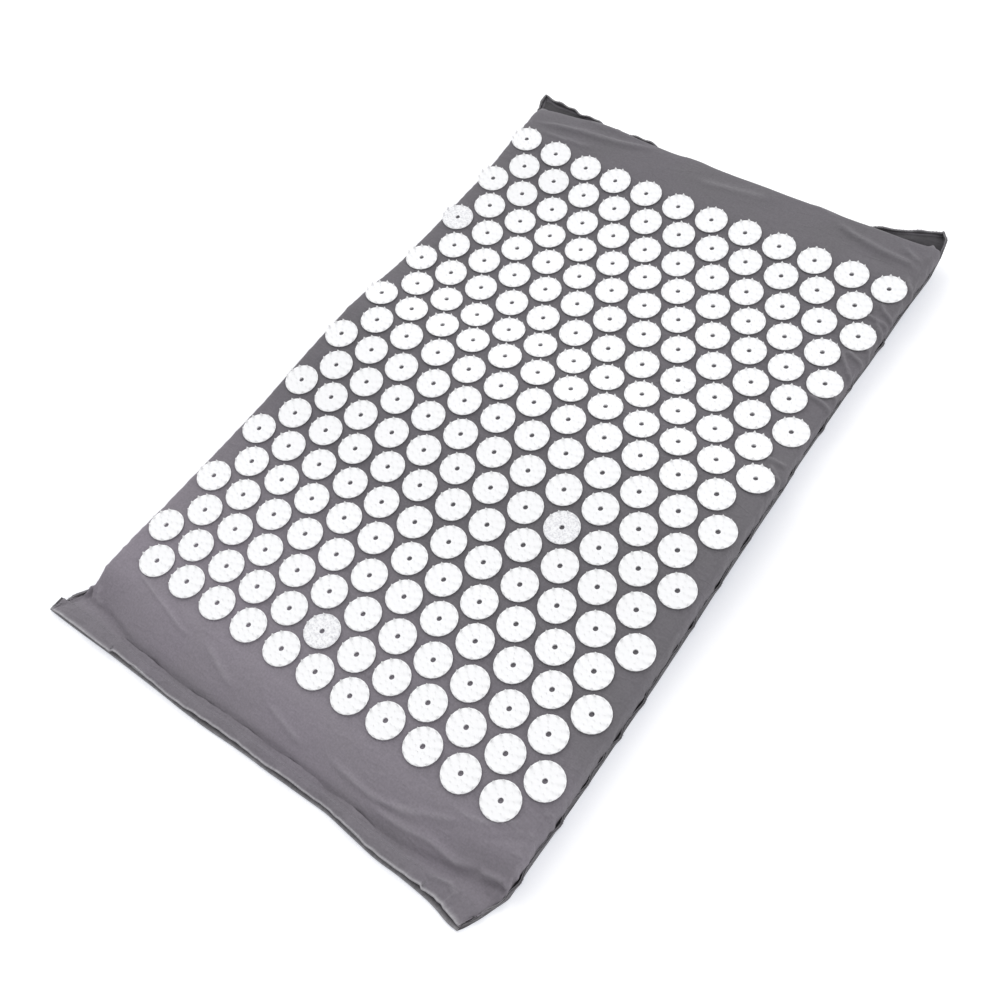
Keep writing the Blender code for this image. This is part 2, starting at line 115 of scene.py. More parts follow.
def unit(vectors: Grid) -> Grid:
    """Vectors brought to length 1."""
    return vectors / np.maximum(np.linalg.norm(vectors, axis=-1, keepdims=True), 1e-12)


def running(steps: Grid) -> Grid:
    """The running total of some steps, from 0."""
    return np.concatenate([[0.0], np.cumsum(steps)])


def joined(*runs: Grid) -> Grid:
    """Runs of places put end to end, without the place that two neighbours share."""
    return np.concatenate([runs[0]] + [run[1:] for run in runs[1:]])


def spaced(start: float, stop: float, step: float) -> Grid:
    """Places from start to stop, about step apart, both ends among them."""
    return np.linspace(start, stop, max(2, math.ceil(abs(stop - start) / step) + 1))


def stretches(stops: tuple[float, ...], steps: tuple[float, ...]) -> Grid:
    """Places from the first stop to the last, with a step of its own between each two stops."""
    return joined(*(spaced(*run) for run in zip(stops, stops[1:], steps)))


def side(x: Grid, pair: Pair) -> Grid:
    """The first of two values on the left of the mat, the second on its right."""
    return np.where(x > 0, pair[1], pair[0])


@dataclass(frozen=True)
class Line:
    """A drawn line through knots, each a place and a height in millimetres."""

    knots: tuple[Pair, ...]

    def at(self, place: Grid) -> Grid:
        """The height in metres at places in metres.

        Formula: a cubic between the two knots beside a place. Its slope at a knot is the harmonic
        mean of the slopes of the straight lines on both sides, or 0 at a top, a bottom and the ends.

        Args:
            place: places in metres, in any grid shape.

        Returns:
            A height for each place. Beyond an end knot it is that knot's own.
        """
        where, value = np.array(self.knots).T * MM
        steps = np.diff(value) / np.diff(where)
        rising = steps[:-1] * steps[1:] > 0
        slope = np.zeros(len(value))
        slope[1:-1][rising] = 2 / (1 / steps[:-1][rising] + 1 / steps[1:][rising])
        after = np.clip(np.searchsorted(where, place), 1, len(where) - 1)
        before = after - 1
        width = where[after] - where[before]
        share = np.clip((place - where[before]) / width, 0.0, 1.0)
        bend = width * share * (1 - share) * (slope[before] * (1 - share) - slope[after] * share)
        return value[before] + (value[after] - value[before]) * smooth(share) + bend


@dataclass(frozen=True)
class Ripples:
    """A soft unevenness: a sum of sine waves of seeded direction, length and phase."""

    seed: int
    height: float
    shortest: float
    longest: float
    count: int = 9

    def at(self, s: Grid, t: Grid | float = 0.0) -> Grid:
        """The height at unrolled places.

        Args:
            s: places across the cloth.
            t: places along it.

        Returns:
            A height for each place, in metres, the same each run.
        """
        chance = random.Random(self.seed)
        total = np.zeros(np.broadcast(s, t).shape)
        for _ in range(self.count):
            angle = chance.uniform(0, math.tau)
            wave = math.tau / chance.uniform(self.shortest, self.longest)
            phase = chance.uniform(0, math.tau)
            total = total + np.sin(wave * (np.cos(angle) * s + np.sin(angle) * t) + phase)
        return total * self.height / math.sqrt(self.count)


@dataclass(frozen=True)
class Fold:
    """A ridge in the cloth, or a valley where its height is below zero.

    Its path, width and height are in millimetres. Across the path the height is a bell,
    exp(-(distance / width)^2), and it fades out towards both ends of the path.
    """

    path: tuple[Pair, ...]
    width: float
    height: float
    fade: float = 0.3
    end_share: float = 0.15

    def relief(self, s: Grid, t: Grid) -> Grid:
        """Height of the fold at unrolled places.

        Args:
            s: places across the cloth, in metres.
            t: places along it.

        Returns:
            A height for each place, in metres, worked out from the nearest point of the path.
        """
        points = np.array(self.path) * MM
        steps = np.linalg.norm(np.diff(points, axis=0), axis=1)
        before = running(steps)
        nearest, share = np.full(s.shape, np.inf), np.zeros(s.shape)
        for start, end, step, gone in zip(points, points[1:], steps, before):
            run = (end - start) / step
            along = np.clip((s - start[0]) * run[0] + (t - start[1]) * run[1], 0.0, step)
            away = np.hypot(s - start[0] - along * run[0], t - start[1] - along * run[1])
            share = np.where(away < nearest, (gone + along) / before[-1], share)
            nearest = np.minimum(away, nearest)
        ends = smooth(np.minimum(share, 1 - share) / self.fade + self.end_share)
        return self.height * MM * ends * np.exp(-(nearest / (self.width * MM)) ** 2)

    def crest(self, relief: Grid) -> Grid:
        """1 on the fold's very ridge, falling quickly beside it."""
        return np.clip(relief / (self.height * MM), 0.0, 1.0) ** 4


@dataclass(frozen=True)
class MatShape:
    """The mat's sizes and how it lies: the same values and formulas as the CAD source.

    Pairs hold a value for the left side and one for the right. near_pull, near_start and near_power
    shape the near corners, ear_size, ear_power, ear_in and ear_out the far ones, and seam_start and
    seam_run say where the far seam starts to rise.
    """

    origin: Pair
    foam_width: float = 0.412
    foam_length: float = 0.607
    foam_thickness: float = 0.020
    foam_edge: float = 0.008
    dish_depth: float = 0.003
    edge_fullness: float = 0.58
    ridge_height: float = 0.008
    ridge_from_middle: float = 0.003
    ridge_near_run: float = 0.165
    ridge_far_run: float = 0.078
    curl_height: float = 0.009
    curl_run: float = 0.130
    curl_lean_share: float = 0.25
    seam_margin: float = 0.002
    ramp_length: float = 0.031
    lip_length: float = 0.0175
    lower_lip_reach: float = 0.0014
    lip_level: float = 0.0061
    lip_side_level: float = 0.0036
    lip_belly: float = 0.0009
    mouth_from_side: float = 0.052
    hem_fold: float = 0.012
    near_pull: Pair = (0.019, 0.017)
    near_start: Pair = (-0.315, -0.325)
    near_power: Pair = (1.1, 1.35)
    most_slack: float = 1.2
    last_row: float = 0.262
    stretch_power: float = 1.2
    seam_start: Pair = (0.012, 0.014)
    seam_run: Pair = (0.012, 0.008)
    ear_size: Pair = (0.030, 0.016)
    ear_power: Pair = (1.0, 2.0)
    ear_in: Pair = (-0.008, -0.009)
    ear_out: Pair = (0.0, 0.002)
    ear_top: float = 0.45
    valley_rise: float = 0.008
    valley_power: float = 1.5
    far_line: Line = Line(((-207, -2), (-185, 2.5), (-165, 6), (-142, 10.5), (-60, 10.5), (100, 11),
                           (207, 11)))
    ear_reach: Line = Line(((-207, 23), (-195, 16), (-175, 11), (-155, 5.5), (-137, 0), (-120, 1.2),
                            (-104, 1.8), (-85, 1), (-70, 0), (110, 0), (125, 1), (145, 2.5), (161, 5),
                            (173, 8), (185, 12.5), (195, 16.5), (209, 18)))
    ear_lift: Line = Line(((-209, 10.5), (-150, 10.5), (-138, 9), (-131, 8), (-124, 9), (-90, 9),
                           (-70, 6), (-50, 3), (-30, 0), (95, 0), (120, 5), (145, 10), (163, 13),
                           (174, 14.5), (190, 15), (209, 15)))
    left_curl_start: float = 0.110
    waist_start: float = 0.150
    waist_run: float = 0.050
    waist_above: float = 0.35
    left_curl: Line = Line(((-352, 0), (-140, 0), (-40, 2.6), (90, 3.2), (150, 6.5), (200, 8.6), (250, 7),
                            (285, 2.5), (310, 0)))
    left_waist: Line = Line(((-352, 0), (-140, 0), (-40, 1.6), (90, 2), (150, 4), (200, 5.4), (250, 4.4),
                             (285, 1.6), (310, 0)))
    right_waist: Line = Line(((-352, 0), (-324, 2.4), (-300, 2.6), (-270, 2.2), (-240, 1.9), (-105, 2.6),
                              (-60, 3.2), (0, 3.8), (45, 5.2), (80, 7.4), (165, 7.6), (195, 6.6),
                              (255, 5.9), (290, 4), (310, 3.5)))
    crease_line: Line = Line(((-207, 3), (-180, 2.5), (-165, 0.5), (-150, -2), (-130, -3.5), (-90, -3),
                              (-60, -3.5), (-40, -2), (0, -2), (120, -1.5), (140, 0), (165, 2.5),
                              (182, 5.5), (207, 5)))
    hem_line: Line = Line(((-207, 1.5), (-150, 1.5), (-115, 1.6), (-82, 1.4), (-60, 2), (-20, 3.2),
                           (5, 3.2), (32, 4.6), (65, 5.8), (90, 3.6), (120, 1.3), (135, 1.7), (160, 1.2),
                           (182, 0), (207, -2.4)))

    @property
    def cover_top(self) -> float:
        """The cover's outer face at the pad's long edges, before the mat bends."""
        return LAYER + self.foam_thickness + LAYER

    @property
    def skirt_low(self) -> float:
        """Foot of the cover's skirt."""
        return LAYER + CLOTH

    @property
    def half_width(self) -> float:
        """From the middle to the skirt's outer face."""
        return self.foam_width / 2 + LAYER

    @property
    def far_edge(self) -> float:
        """The far skirt's outer face."""
        return self.foam_length / 2 + LAYER

    @property
    def flat_half(self) -> float:
        """From the middle to where the long edges start to round down."""
        return self.foam_width / 2 - self.foam_edge

    @property
    def flat_far(self) -> float:
        """Where the far edge starts to round down."""
        return self.foam_length / 2 - self.foam_edge

    @property
    def ramp_start(self) -> float:
        """Where the cover leaves the pad at the mouth end."""
        return self.foam_edge - self.foam_length / 2

    @property
    def crease(self) -> float:
        """The line where the ramp meets the lips."""
        return -self.foam_length / 2 - self.ramp_length

    @property
    def flap_hem(self) -> float:
        """The upper lip's hem."""
        return self.crease - self.lip_length

    @property
    def lower_hem(self) -> float:
        """The lower lip's hem."""
        return self.flap_hem - self.lower_lip_reach

    @property
    def mouth_half(self) -> float:
        """From the middle to a notch of the mouth."""
        return self.foam_width / 2 - self.mouth_from_side

    def edge_curve(self, lines: int, width: float, height: float) -> tuple[Grid, Grid]:
        """Distance in from the side, and height, on a rounded edge.

        Formula: width (1 - cos(a)^f) and height sin(a)^f, with a quarter turn from foot to top.

        Args:
            lines: steps on the edge.
            width: how far in the edge reaches.
            height: of its top over its foot.

        Returns:
            Distances in and heights, from the foot to the top.
        """
        angle = np.linspace(0, math.pi / 2, lines + 1)
        inward = width * (1 - np.maximum(np.cos(angle), 0.0) ** self.edge_fullness)
        return inward, height * np.sin(angle) ** self.edge_fullness

    def waist(self, x: Grid, y: Grid, share: Grid | float) -> Grid:
        """How far the sides are drawn in: the right one most at its foot, a third of that on top."""
        right = self.right_waist.at(y) * (1 + (self.waist_above - 1) * share)
        drawn = np.where(x > 0, right, -self.left_waist.at(y))
        return drawn * smooth((np.abs(x) - self.waist_start) / self.waist_run)

    def pull(self, x: Grid, y: Grid, share: Grid | float) -> tuple[Grid, Grid, Grid]:
        """Move points of the plain plan to where the pulled cloth lies.

        Formula: past the start of a near corner, the side runs straight out or in. The crease and
        the hem are carried to their drawn lines. Past the last row of rosettes the cover is
        stretched to its drawn far line, and the seam beyond it reaches out and rises as drawn. The
        wall in front of a raised seam falls into a valley first.

        Args:
            x: places across the mat.
            y: places along the mat.
            share: 0 on the floor and 1 on the pad's top, which the ears leave alone.

        Returns:
            The moved x and y, and the further height.
        """
        beside = smooth((np.abs(x) - self.mouth_half) / (self.half_width - self.mouth_half))
        start = side(x, self.near_start)
        slack = np.clip((start - y) / (start - self.flap_hem), 0.0, self.most_slack)
        corner = np.hypot(self.half_width + self.seam_margin - np.abs(x),
                          self.far_edge + self.seam_margin - y)
        ear = np.clip(1 - corner / side(x, self.ear_size), 0.0, 1.0) ** side(x, self.ear_power)
        ear = ear * (1 - share)
        x_move = side(x, self.ear_in) * ear - self.waist(x, y, share)
        x_move = x_move - side(x, self.near_pull) * beside * slack ** side(x, self.near_power)
        slope = smooth((self.ramp_start - y) / (self.ramp_start - self.crease))
        beyond = np.clip((self.crease - y) / self.lip_length, 0.0, 1.0)
        margin = np.clip((y - self.last_row) / (self.flat_far - self.last_row), 0.0, 1.0)
        seam = smooth((y - self.far_edge + side(x, self.seam_start)) / side(x, self.seam_run))
        y_move = self.crease_line.at(x) * slope * (1 - beyond) + self.hem_line.at(x) * beyond
        y_move = y_move + self.far_line.at(x) * margin ** self.stretch_power
        y_move = y_move + side(x, self.ear_out) * ear + self.ear_reach.at(x) * seam * (1 - share)
        rise = self.ear_lift.at(x) * seam
        fall = (self.cover_top - self.skirt_low) * (share - share ** self.valley_power)
        z_move = rise * smooth(1 - share / self.ear_top) - fall * np.minimum(rise / self.valley_rise, 1.0)
        return x + x_move, y + y_move, z_move

    def bend(self, x: Grid, y: Grid) -> Grid:
        """How high the mat lies off the floor: a ridge across it, a curled far end and left edge.

        Args:
            x: places across the mat.
            y: places along it.

        Returns:
            A height for each place, in metres.
        """
        from_crest = y - self.ridge_from_middle
        run = np.where(from_crest > 0, self.ridge_far_run, self.ridge_near_run)
        ridge = self.ridge_height * smooth(1 - np.abs(from_crest) / run)
        curl = self.curl_height * smooth((y - self.far_edge + self.curl_run) / self.curl_run)
        left = smooth((-x - self.left_curl_start) / (self.half_width - self.left_curl_start))
        lean = 1 - self.curl_lean_share * x / self.half_width
        return ridge + self.left_curl.at(y) * left + curl * lean

    def dish(self, x: Grid) -> Grid:
        """How much lower the pad is than at its long edges: a parabola across it."""
        return self.dish_depth * (1 - (x / self.half_width) ** 2)

    def cover_height(self, x: Grid, y: Grid) -> Grid:
        """The cover's outer face on the flat of the pad."""
        return self.cover_top - self.dish(x) + self.bend(x, y)

    def cover_points(self, x: Grid, y: Grid, share: Grid, ramp: Grid) -> Grid:
        """The cover's outer face before its folds.

        Args:
            x: places across the plain plan.
            y: places along it.
            share: share of the full height, 0 at the skirt's foot.
            ramp: share of the slope at the mouth end, 0 on the lips.

        Returns:
            Points, three numbers each, in the part's frame.
        """
        full = self.skirt_low + share * (self.cover_top - self.skirt_low - self.dish(x))
        inward = smooth((self.half_width - np.abs(x)) / (self.half_width - self.mouth_half))
        beyond = (self.crease - y) / self.lip_length
        foot = self.skirt_low + (self.lip_side_level - self.skirt_low) * smooth(2 * beyond)
        lip = foot + (self.lip_level - foot) * inward
        belly = self.lip_belly * np.sin(math.pi * np.clip(beyond, 0, 1)) * inward
        moved_x, moved_y, further = self.pull(x, y, share)
        return self.placed(moved_x, moved_y, lip + (full - lip) * ramp + belly + further + self.bend(x, y))

    def placed(self, x: Grid, y: Grid, z: Grid) -> Grid:
        """Points of the pad's plan as points of the part's frame."""
        return np.stack(np.broadcast_arrays(x + self.origin[0], y + self.origin[1], z), axis=-1)

    def planned(self, points: Grid) -> tuple[Grid, Grid]:
        """The pad's plan under points of the part's frame."""
        return points[..., 0] - self.origin[0], points[..., 1] - self.origin[1]


def arcs(points: Grid) -> Grid:
    """Lengths along a row of points, from 0."""
    return running(np.linalg.norm(np.diff(points, axis=0), axis=-1))


def upright(points: Grid) -> Grid:
    """Unit normals of a grid of points, from its differences along rows and columns."""
    return unit(np.cross(np.gradient(points, axis=0), np.gradient(points, axis=1)))


def unrolled(points: Grid) -> Grid:
    """Unrolled places of a grid in metres: arc lengths of its middle row and middle column."""
    rows, columns = points.shape[:2]
    return np.stack(np.meshgrid(arcs(points[rows // 2]), arcs(points[:, columns // 2])), axis=-1)


def grid_faces(rows: int, columns: int, ring_rows: bool = False, ring_columns: bool = False) -> Grid:
    """Four-sided faces over a grid whose rows go towards -Y and columns towards +X, facing up.

    Args:
        rows: of points.
        columns: of points.
        ring_rows: joins the last row to the first.
        ring_columns: joins the last column to the first.

    Returns:
        Four vertex indices for each face.
    """
    down = np.arange(rows if ring_rows else rows - 1)
    over = np.arange(columns if ring_columns else columns - 1)
    i, j = np.meshgrid(down, over, indexing="ij")
    after_i, after_j = (i + 1) % rows, (j + 1) % columns
    corners = [i * columns + j, after_i * columns + j, after_i * columns + after_j, i * columns + after_j]
    return np.stack(corners, axis=-1).reshape(-1, 4)


def tube_faces(rows: int, columns: int) -> list[Grid]:
    """Faces of a tube with closed ends, whose rows are rings that turn left about its run."""
    ring = np.arange(columns)[None]
    wall = grid_faces(rows, columns, ring_columns=True)[:, ::-1]
    return [wall, ring[:, ::-1], ring + (rows - 1) * columns]


def repeated(groups: list[Grid], count: int, size: int) -> list[Grid]:
    """The same faces for each of count copies, which have size points each."""
    shift = (np.arange(count) * size)[:, None, None]
    return [(group + shift).reshape(-1, group.shape[1]) for group in groups]


def linked(name: str, data: bpy.types.ID) -> Piece:
    """A new object of the scene."""
    obj = bpy.data.objects.new(name, data)
    bpy.context.scene.collection.objects.link(obj)
    return obj


def new_piece(name: str, points: Grid, faces: list[Grid], finish: Finish, uv: Grid | None = None,
              values: dict[str, Grid] | None = None, normals: Grid | None = None,
              faceted: bool = False) -> Piece:
    """A mesh object with its place in its mesh.

    Args:
        name: the piece's name.
        points: its vertices, in any grid shape, three numbers each. Unused ones are left out.
        faces: vertex indices, one array for each number of corners.
        finish: its finish.
        uv: unrolled places, one for each vertex.
        values: further numbers, one for each vertex, that the finish reads.
        normals: shading normals, one for each corner of each face.
        faceted: keeps the facets.

    Returns:
        The new object, linked to the scene.
    """
    points = points.reshape(-1, 3)
    corners = np.concatenate([group.ravel() for group in faces])
    sizes = np.concatenate([np.full(len(group), group.shape[1]) for group in faces])
    used, corners = np.unique(corners, return_inverse=True)
    mesh = bpy.data.meshes.new(name)
    mesh.vertices.add(len(used))
    mesh.vertices.foreach_set("co", points[used].astype(np.float32).ravel())
    mesh.loops.add(len(corners))
    mesh.loops.foreach_set("vertex_index", corners.astype(np.int32))
    mesh.polygons.add(len(sizes))
    mesh.polygons.foreach_set("loop_start", running(sizes)[:-1].astype(np.int32))
    mesh.polygons.foreach_set("use_smooth", np.full(len(sizes), not faceted))
    mesh.update(calc_edges=True)
    if normals is not None:
        mesh.normals_split_custom_set(normals.reshape(-1, 3).tolist())
    if uv is not None:
        layer = mesh.uv_layers.new(name="cloth")
        layer.data.foreach_set("uv", uv.reshape(-1, 2)[used][corners].astype(np.float32).ravel())
    for key, value in (values or {}).items():
        attribute = mesh.attributes.new(key, "FLOAT", "POINT")
        attribute.data.foreach_set("value", value.ravel()[used].astype(np.float32))
    mesh.materials.append(finish.material())
    return linked(name, mesh)


def new_sheet(name: str, points: Grid, up: Grid, faces: Grid, cotton: Finish, uv: Grid,
              wear: Grid) -> Piece:
    """A sheet of cloth as a closed shell.

    Formula: the grid's own face, the same grid a cloth's thickness below it turned over, and a rim
    between every edge that only one face has and the edge below it. The grid's own normals shade
    it, so that two sheets that meet edge to edge shade as one.

    Args:
        name: the piece's name.
        points: of the cloth's outer face.
        up: its normals.
        faces: over the points.
        cotton: the finish.
        uv: unrolled places of the points.
        wear: the painted highlight at the points.

    Returns:
        The new object.
    """
    count = points.size // 3
    both = np.concatenate([points.reshape(-1, 3), (points - up * CLOTH).reshape(-1, 3)])
    start, end = faces.ravel(), np.roll(faces, -1, axis=1).ravel()
    border = ~np.isin(start * count + end, end * count + start)
    a, b = start[border], end[border]
    rim = np.stack([b, a, a + count, b + count], axis=-1)
    outward = unit(np.cross(both[a] - both[b], both[a + count] - both[a]))
    up = up.reshape(-1, 3)
    normals = [up[faces.ravel()], -up[faces[:, ::-1].ravel()], np.repeat(outward, 4, axis=0)]
    shell = np.concatenate([faces, faces[:, ::-1] + count, rim])
    return new_piece(name, both, [shell], cotton, np.concatenate([uv.reshape(-1, 2)] * 2),
                     {"wear": np.concatenate([wear.ravel()] * 2)}, np.concatenate(normals))


def settle(obj: Piece, body: Body, slot: Slot, *nodes: str) -> Piece:
    """Let a finished piece ride on its body and stand for its CAD nodes.

    Args:
        obj: the piece.
        body: the CAD body that carries it.
        slot: the record's material slot; not used.
        nodes: names of the CAD nodes that it hides.

    Returns:
        The same piece.
    """
    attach(obj, body.value)
    if nodes:
        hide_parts(*nodes)
    log.info("%s: %d vertices, on %s", obj.name, len(obj.data.vertices), body.value)
    return obj


class Board:
    """A node tree, with short calls for the nodes that the finishes and the studio share."""

    def __init__(self, owner: bpy.types.Material | bpy.types.World) -> None:
        """Start on the nodes that a new material or world has."""
        owner.use_nodes = True
        self.owner = owner
        self.nodes = owner.node_tree.nodes
        self.links = owner.node_tree.links

    def put(self, node: bpy.types.Node, place: int | str, value: object) -> None:
        """Set one input, from another node's output or as a plain value."""
        if isinstance(value, Socket):
            self.links.new(value, node.inputs[place])
        else:
            node.inputs[place].default_value = value

    def new(self, kind: str, inputs: dict[int | str, object], **settings: str) -> bpy.types.Node:
        """A node with its settings and inputs."""
        node = self.nodes.new(f"ShaderNode{kind}")
        for key, value in settings.items():
            setattr(node, key, value)
        for place, value in inputs.items():
            self.put(node, place, value)
        return node

    def math(self, operation: str, first: object, second: object = 0.0) -> Socket:
        """One step of arithmetic."""
        return self.new("Math", {0: first, 1: second}, operation=operation).outputs[0]

    def mix(self, share: object, first: object, second: object, blend: str = "MIX") -> Socket:
        """A colour between two others, or their product."""
        inputs = {0: share, 6: first, 7: second}
        return self.new("Mix", inputs, data_type="RGBA", blend_type=blend).outputs[2]

    def coordinates(self, kind: str) -> Socket:
        """Object or UV coordinates."""
        return self.new("TexCoord", {}).outputs[kind]

    def split(self, vector: Socket) -> tuple[Socket, Socket]:
        """The first two numbers of a vector."""
        node = self.new("SeparateXYZ", {0: vector})
        return node.outputs[0], node.outputs[1]

    def stretched(self, vector: Socket, scale: Place) -> Socket:
        """A vector times a scale of its own along each axis."""
        return self.new("VectorMath", {0: vector, 1: scale}, operation="MULTIPLY").outputs[0]

    def noise(self, vector: Socket, scale: float, detail: float = 2.0) -> Socket:
        """Fractal noise between 0 and 1."""
        return self.new("TexNoise", {"Vector": vector, "Scale": scale, "Detail": detail}).outputs[0]

    def attribute(self, name: str) -> Socket:
        """A number that the mesh carries."""
        return self.new("Attribute", {}, attribute_name=name).outputs["Fac"]

    def between(self, value: Socket, low: float, high: float, start: float, end: float) -> Socket:
        """A value from low to high, carried to start to end and clamped there."""
        return self.new("MapRange", {0: value, 1: low, 2: high, 3: start, 4: end}).outputs[0]

    def weave(self, u: Socket, v: Socket, turn: float) -> Socket:
        """The product of a sine along u and a sine along v."""
        waves = [self.math("SINE", self.math("MULTIPLY", place, turn)) for place in (u, v)]
        return self.math("MULTIPLY", *waves)

    def bump(self, height: Socket, distance: float, strength: float, **under: Socket) -> Socket:
        """A normal from a height, over the normal given as Normal."""
        inputs = {"Height": height, "Distance": distance, "Strength": strength, **under}
        return self.new("Bump", inputs).outputs[0]

    def seen(self) -> Socket:
        """1 for rays that see the pale background: from the camera, glossy or through glass."""
        rays = self.new("LightPath", {}).outputs
        direct = self.math("MAXIMUM", rays["Is Camera Ray"], rays["Is Glossy Ray"])
        return self.math("MAXIMUM", direct, rays["Is Transmission Ray"])

    def finish(self, **inputs: object) -> bpy.types.Material:
        """Set the shader's sockets, named with _ for spaces, and hand over the material."""
        for name, value in inputs.items():
            self.put(self.nodes["Principled BSDF"], name.replace("_", " "), value)
        return self.owner


@dataclass(frozen=True)
class Finish:
    """A finish: its name, and how its material is made. The same finish is made only once."""

    name: str

    def material(self) -> bpy.types.Material:
        """The finish's material."""
        materials = bpy.data.materials
        return materials.get(self.name) or self.make(Board(materials.new(self.name)))

    def make(self, board: Board) -> bpy.types.Material:
        """Build the nodes."""
        raise NotImplementedError


@dataclass(frozen=True)
class CottonFinish(Finish):
    """Plain-woven cotton: crossing threads, uneven yarn, a soft bloom, painted light, shade and highlights.
    """

    name: str = "grey_cotton"
    colour: Colour = (0.149, 0.140, 0.155, 1.0)
    # painted light: the paler tone near the mouth, standing in for the light there
    painted_light_tone: Colour = (0.249, 0.225, 0.259, 1.0)
    # painted shade: the darker tone on the lips past the crease
    lip: Colour = (0.195, 0.179, 0.203, 1.0)
    clear: Colour = (1.0, 1.0, 1.0, 1.0)
    greyer: Colour = (0.985, 0.995, 0.975, 1.0)
    # painted highlight: the paler tone along hem folds, fold crests and the welt's top
    highlight_tone: Colour = (0.50, 0.49, 0.51, 1.0)
    # where the painted light steps up along Y, near the mouth, slanting with X
    fade: Pair = (-0.290, -0.130)
    painted_light_slant: float = 0.25
    # where the painted shade of the lips starts along Y
    lip_shade_step: Pair = (-0.330, -0.318)
    thread: float = 0.00046
    yarn_waves: float = 140.0
    yarn_range: Pair = (0.7, 1.3)

    def make(self, board: Board) -> bpy.types.Material:
        """Weave height: sine along u times sine along v. Painted light: paler in a step along Y, near the
        mouth.

        Crinkles: thin ridges along the line where a noise crosses its middle. Painted highlight: paler
        where the mesh says, along hem folds and fold crests.
        """
        uv, place = board.coordinates("UV"), board.coordinates("Object")
        weave = board.weave(*board.split(uv), math.pi / self.thread)
        short, long = 1 / self.thread / 3, self.yarn_waves
        yarn = board.math("ADD", board.noise(board.stretched(uv, (short, long, 1.0)), 1.0),
                          board.noise(board.stretched(uv, (long, short, 1.0)), 1.0))
        x, y = board.split(place)
        across = board.math("ADD", y, board.math("MULTIPLY", x, self.painted_light_slant))
        # painted light: paler near the mouth, in a step along Y that slants with X
        base = board.mix(board.between(across, *self.fade, 1.0, 0.0), self.colour, self.painted_light_tone)
        # painted shade: darker again on the lips past the crease
        base = board.mix(board.between(y, *self.lip_shade_step, 1.0, 0.0), base, self.lip)
        cloud = board.between(board.noise(place, 16.0, 3.0), 0.38, 0.62, 0.0, 1.0)
        shade = board.math("ADD", board.math("MULTIPLY", weave, 0.04),
                           board.between(yarn, *self.yarn_range, 0.965, 1.035))
        slub = board.between(board.noise(place, 620.0), 0.32, 0.68, 0.93, 1.07)
        toned = board.mix(1.0, base, board.math("MULTIPLY", shade, slub), "MULTIPLY")
        toned = board.mix(1.0, toned, board.mix(cloud, self.clear, self.greyer), "MULTIPLY")
        # painted highlight where the mesh says, broken up by the yarn
        wear = board.math("MULTIPLY", board.attribute("wear"),
                          board.between(yarn, *self.yarn_range, 0.5, 1.0))
        height = board.math("ADD", weave, board.math("MULTIPLY", yarn, 1.5))
        tangle = board.noise(board.stretched(place, (26.0, 60.0, 30.0)), 1.0, 3.0)
        crossing = board.math("ABSOLUTE", board.math("SUBTRACT", tangle, 0.5))
        crinkles = board.bump(board.between(crossing, 0.0, 0.07, 1.0, 0.0), 0.0004, 0.5)
        return board.finish(Base_Color=board.mix(wear, toned, self.highlight_tone), Roughness=0.86,
                            Specular_IOR_Level=0.3, Sheen_Weight=0.08, Sheen_Roughness=0.45,
                            Normal=board.bump(height, 0.00005, 0.8, Normal=crinkles))


@dataclass(frozen=True)
class ThreadFinish(Finish):
    """Sewing thread, a shade paler than the cloth, with its twist."""

    name: str = "sewing_thread"
    colour: Colour = (0.20, 0.19, 0.21, 1.0)
    paler: Colour = (0.32, 0.31, 0.33, 1.0)
    twist: float = 0.0004

    def make(self, board: Board) -> bpy.types.Material:
        """Twist height: a sine along a slanting axis."""
        place = board.coordinates("Object")
        slant = board.math("MULTIPLY", board.math("ADD", *board.split(place)), math.tau / self.twist)
        tone = board.between(board.noise(place, 400.0), 0.3, 0.7, 0.0, 0.35)
        return board.finish(Base_Color=board.mix(tone, self.colour, self.paler), Roughness=0.6,
                            Sheen_Weight=0.1, Normal=board.bump(board.math("SINE", slant), 0.00004, 0.6))


@dataclass(frozen=True)
class TapeFinish(Finish):
    """Hook-and-loop tape: rows of stiff hooks, or a felted pile of loops."""

    name: str
    kind: TapeKind
    colour: Colour = (0.30, 0.30, 0.31, 1.0)
    paler: Colour = (0.44, 0.44, 0.45, 1.0)
    hook_every: float = 0.0011

    def make(self, board: Board) -> bpy.types.Material:
        """Hooks: a fine grid of points. Loops: tangled noise."""
        place = board.coordinates("Object")
        if self.kind is TapeKind.HOOK:
            height, rough, depth = board.weave(*board.split(place), math.tau / self.hook_every), 0.5, 0.0003
        else:
            height, rough, depth = board.noise(place, 1600.0, 4.0), 0.95, 0.0005
        tone = board.between(board.noise(place, 900.0, 3.0), 0.3, 0.7, 0.0, 1.0)
        return board.finish(Base_Color=board.mix(tone, self.colour, self.paler), Roughness=rough,
                            Sheen_Weight=0.2, Normal=board.bump(height, depth, 0.8))


@dataclass(frozen=True)
class FoamFinish(Finish):
    """Open-cell foam, cream, with fine pores."""

    name: str = "cream_foam"
    colour: Colour = (0.80, 0.76, 0.64, 1.0)
    pore: Colour = (0.55, 0.50, 0.38, 1.0)

    def make(self, board: Board) -> bpy.types.Material:
        """Pores: noise, darker where it is low."""
        pores = board.noise(board.coordinates("Object"), 900.0, 4.0)
        base = board.mix(board.between(pores, 0.3, 0.5, 1.0, 0.0), self.colour, self.pore)
        return board.finish(Base_Color=base, Roughness=0.95, Normal=board.bump(pores, 0.0006, 0.7))


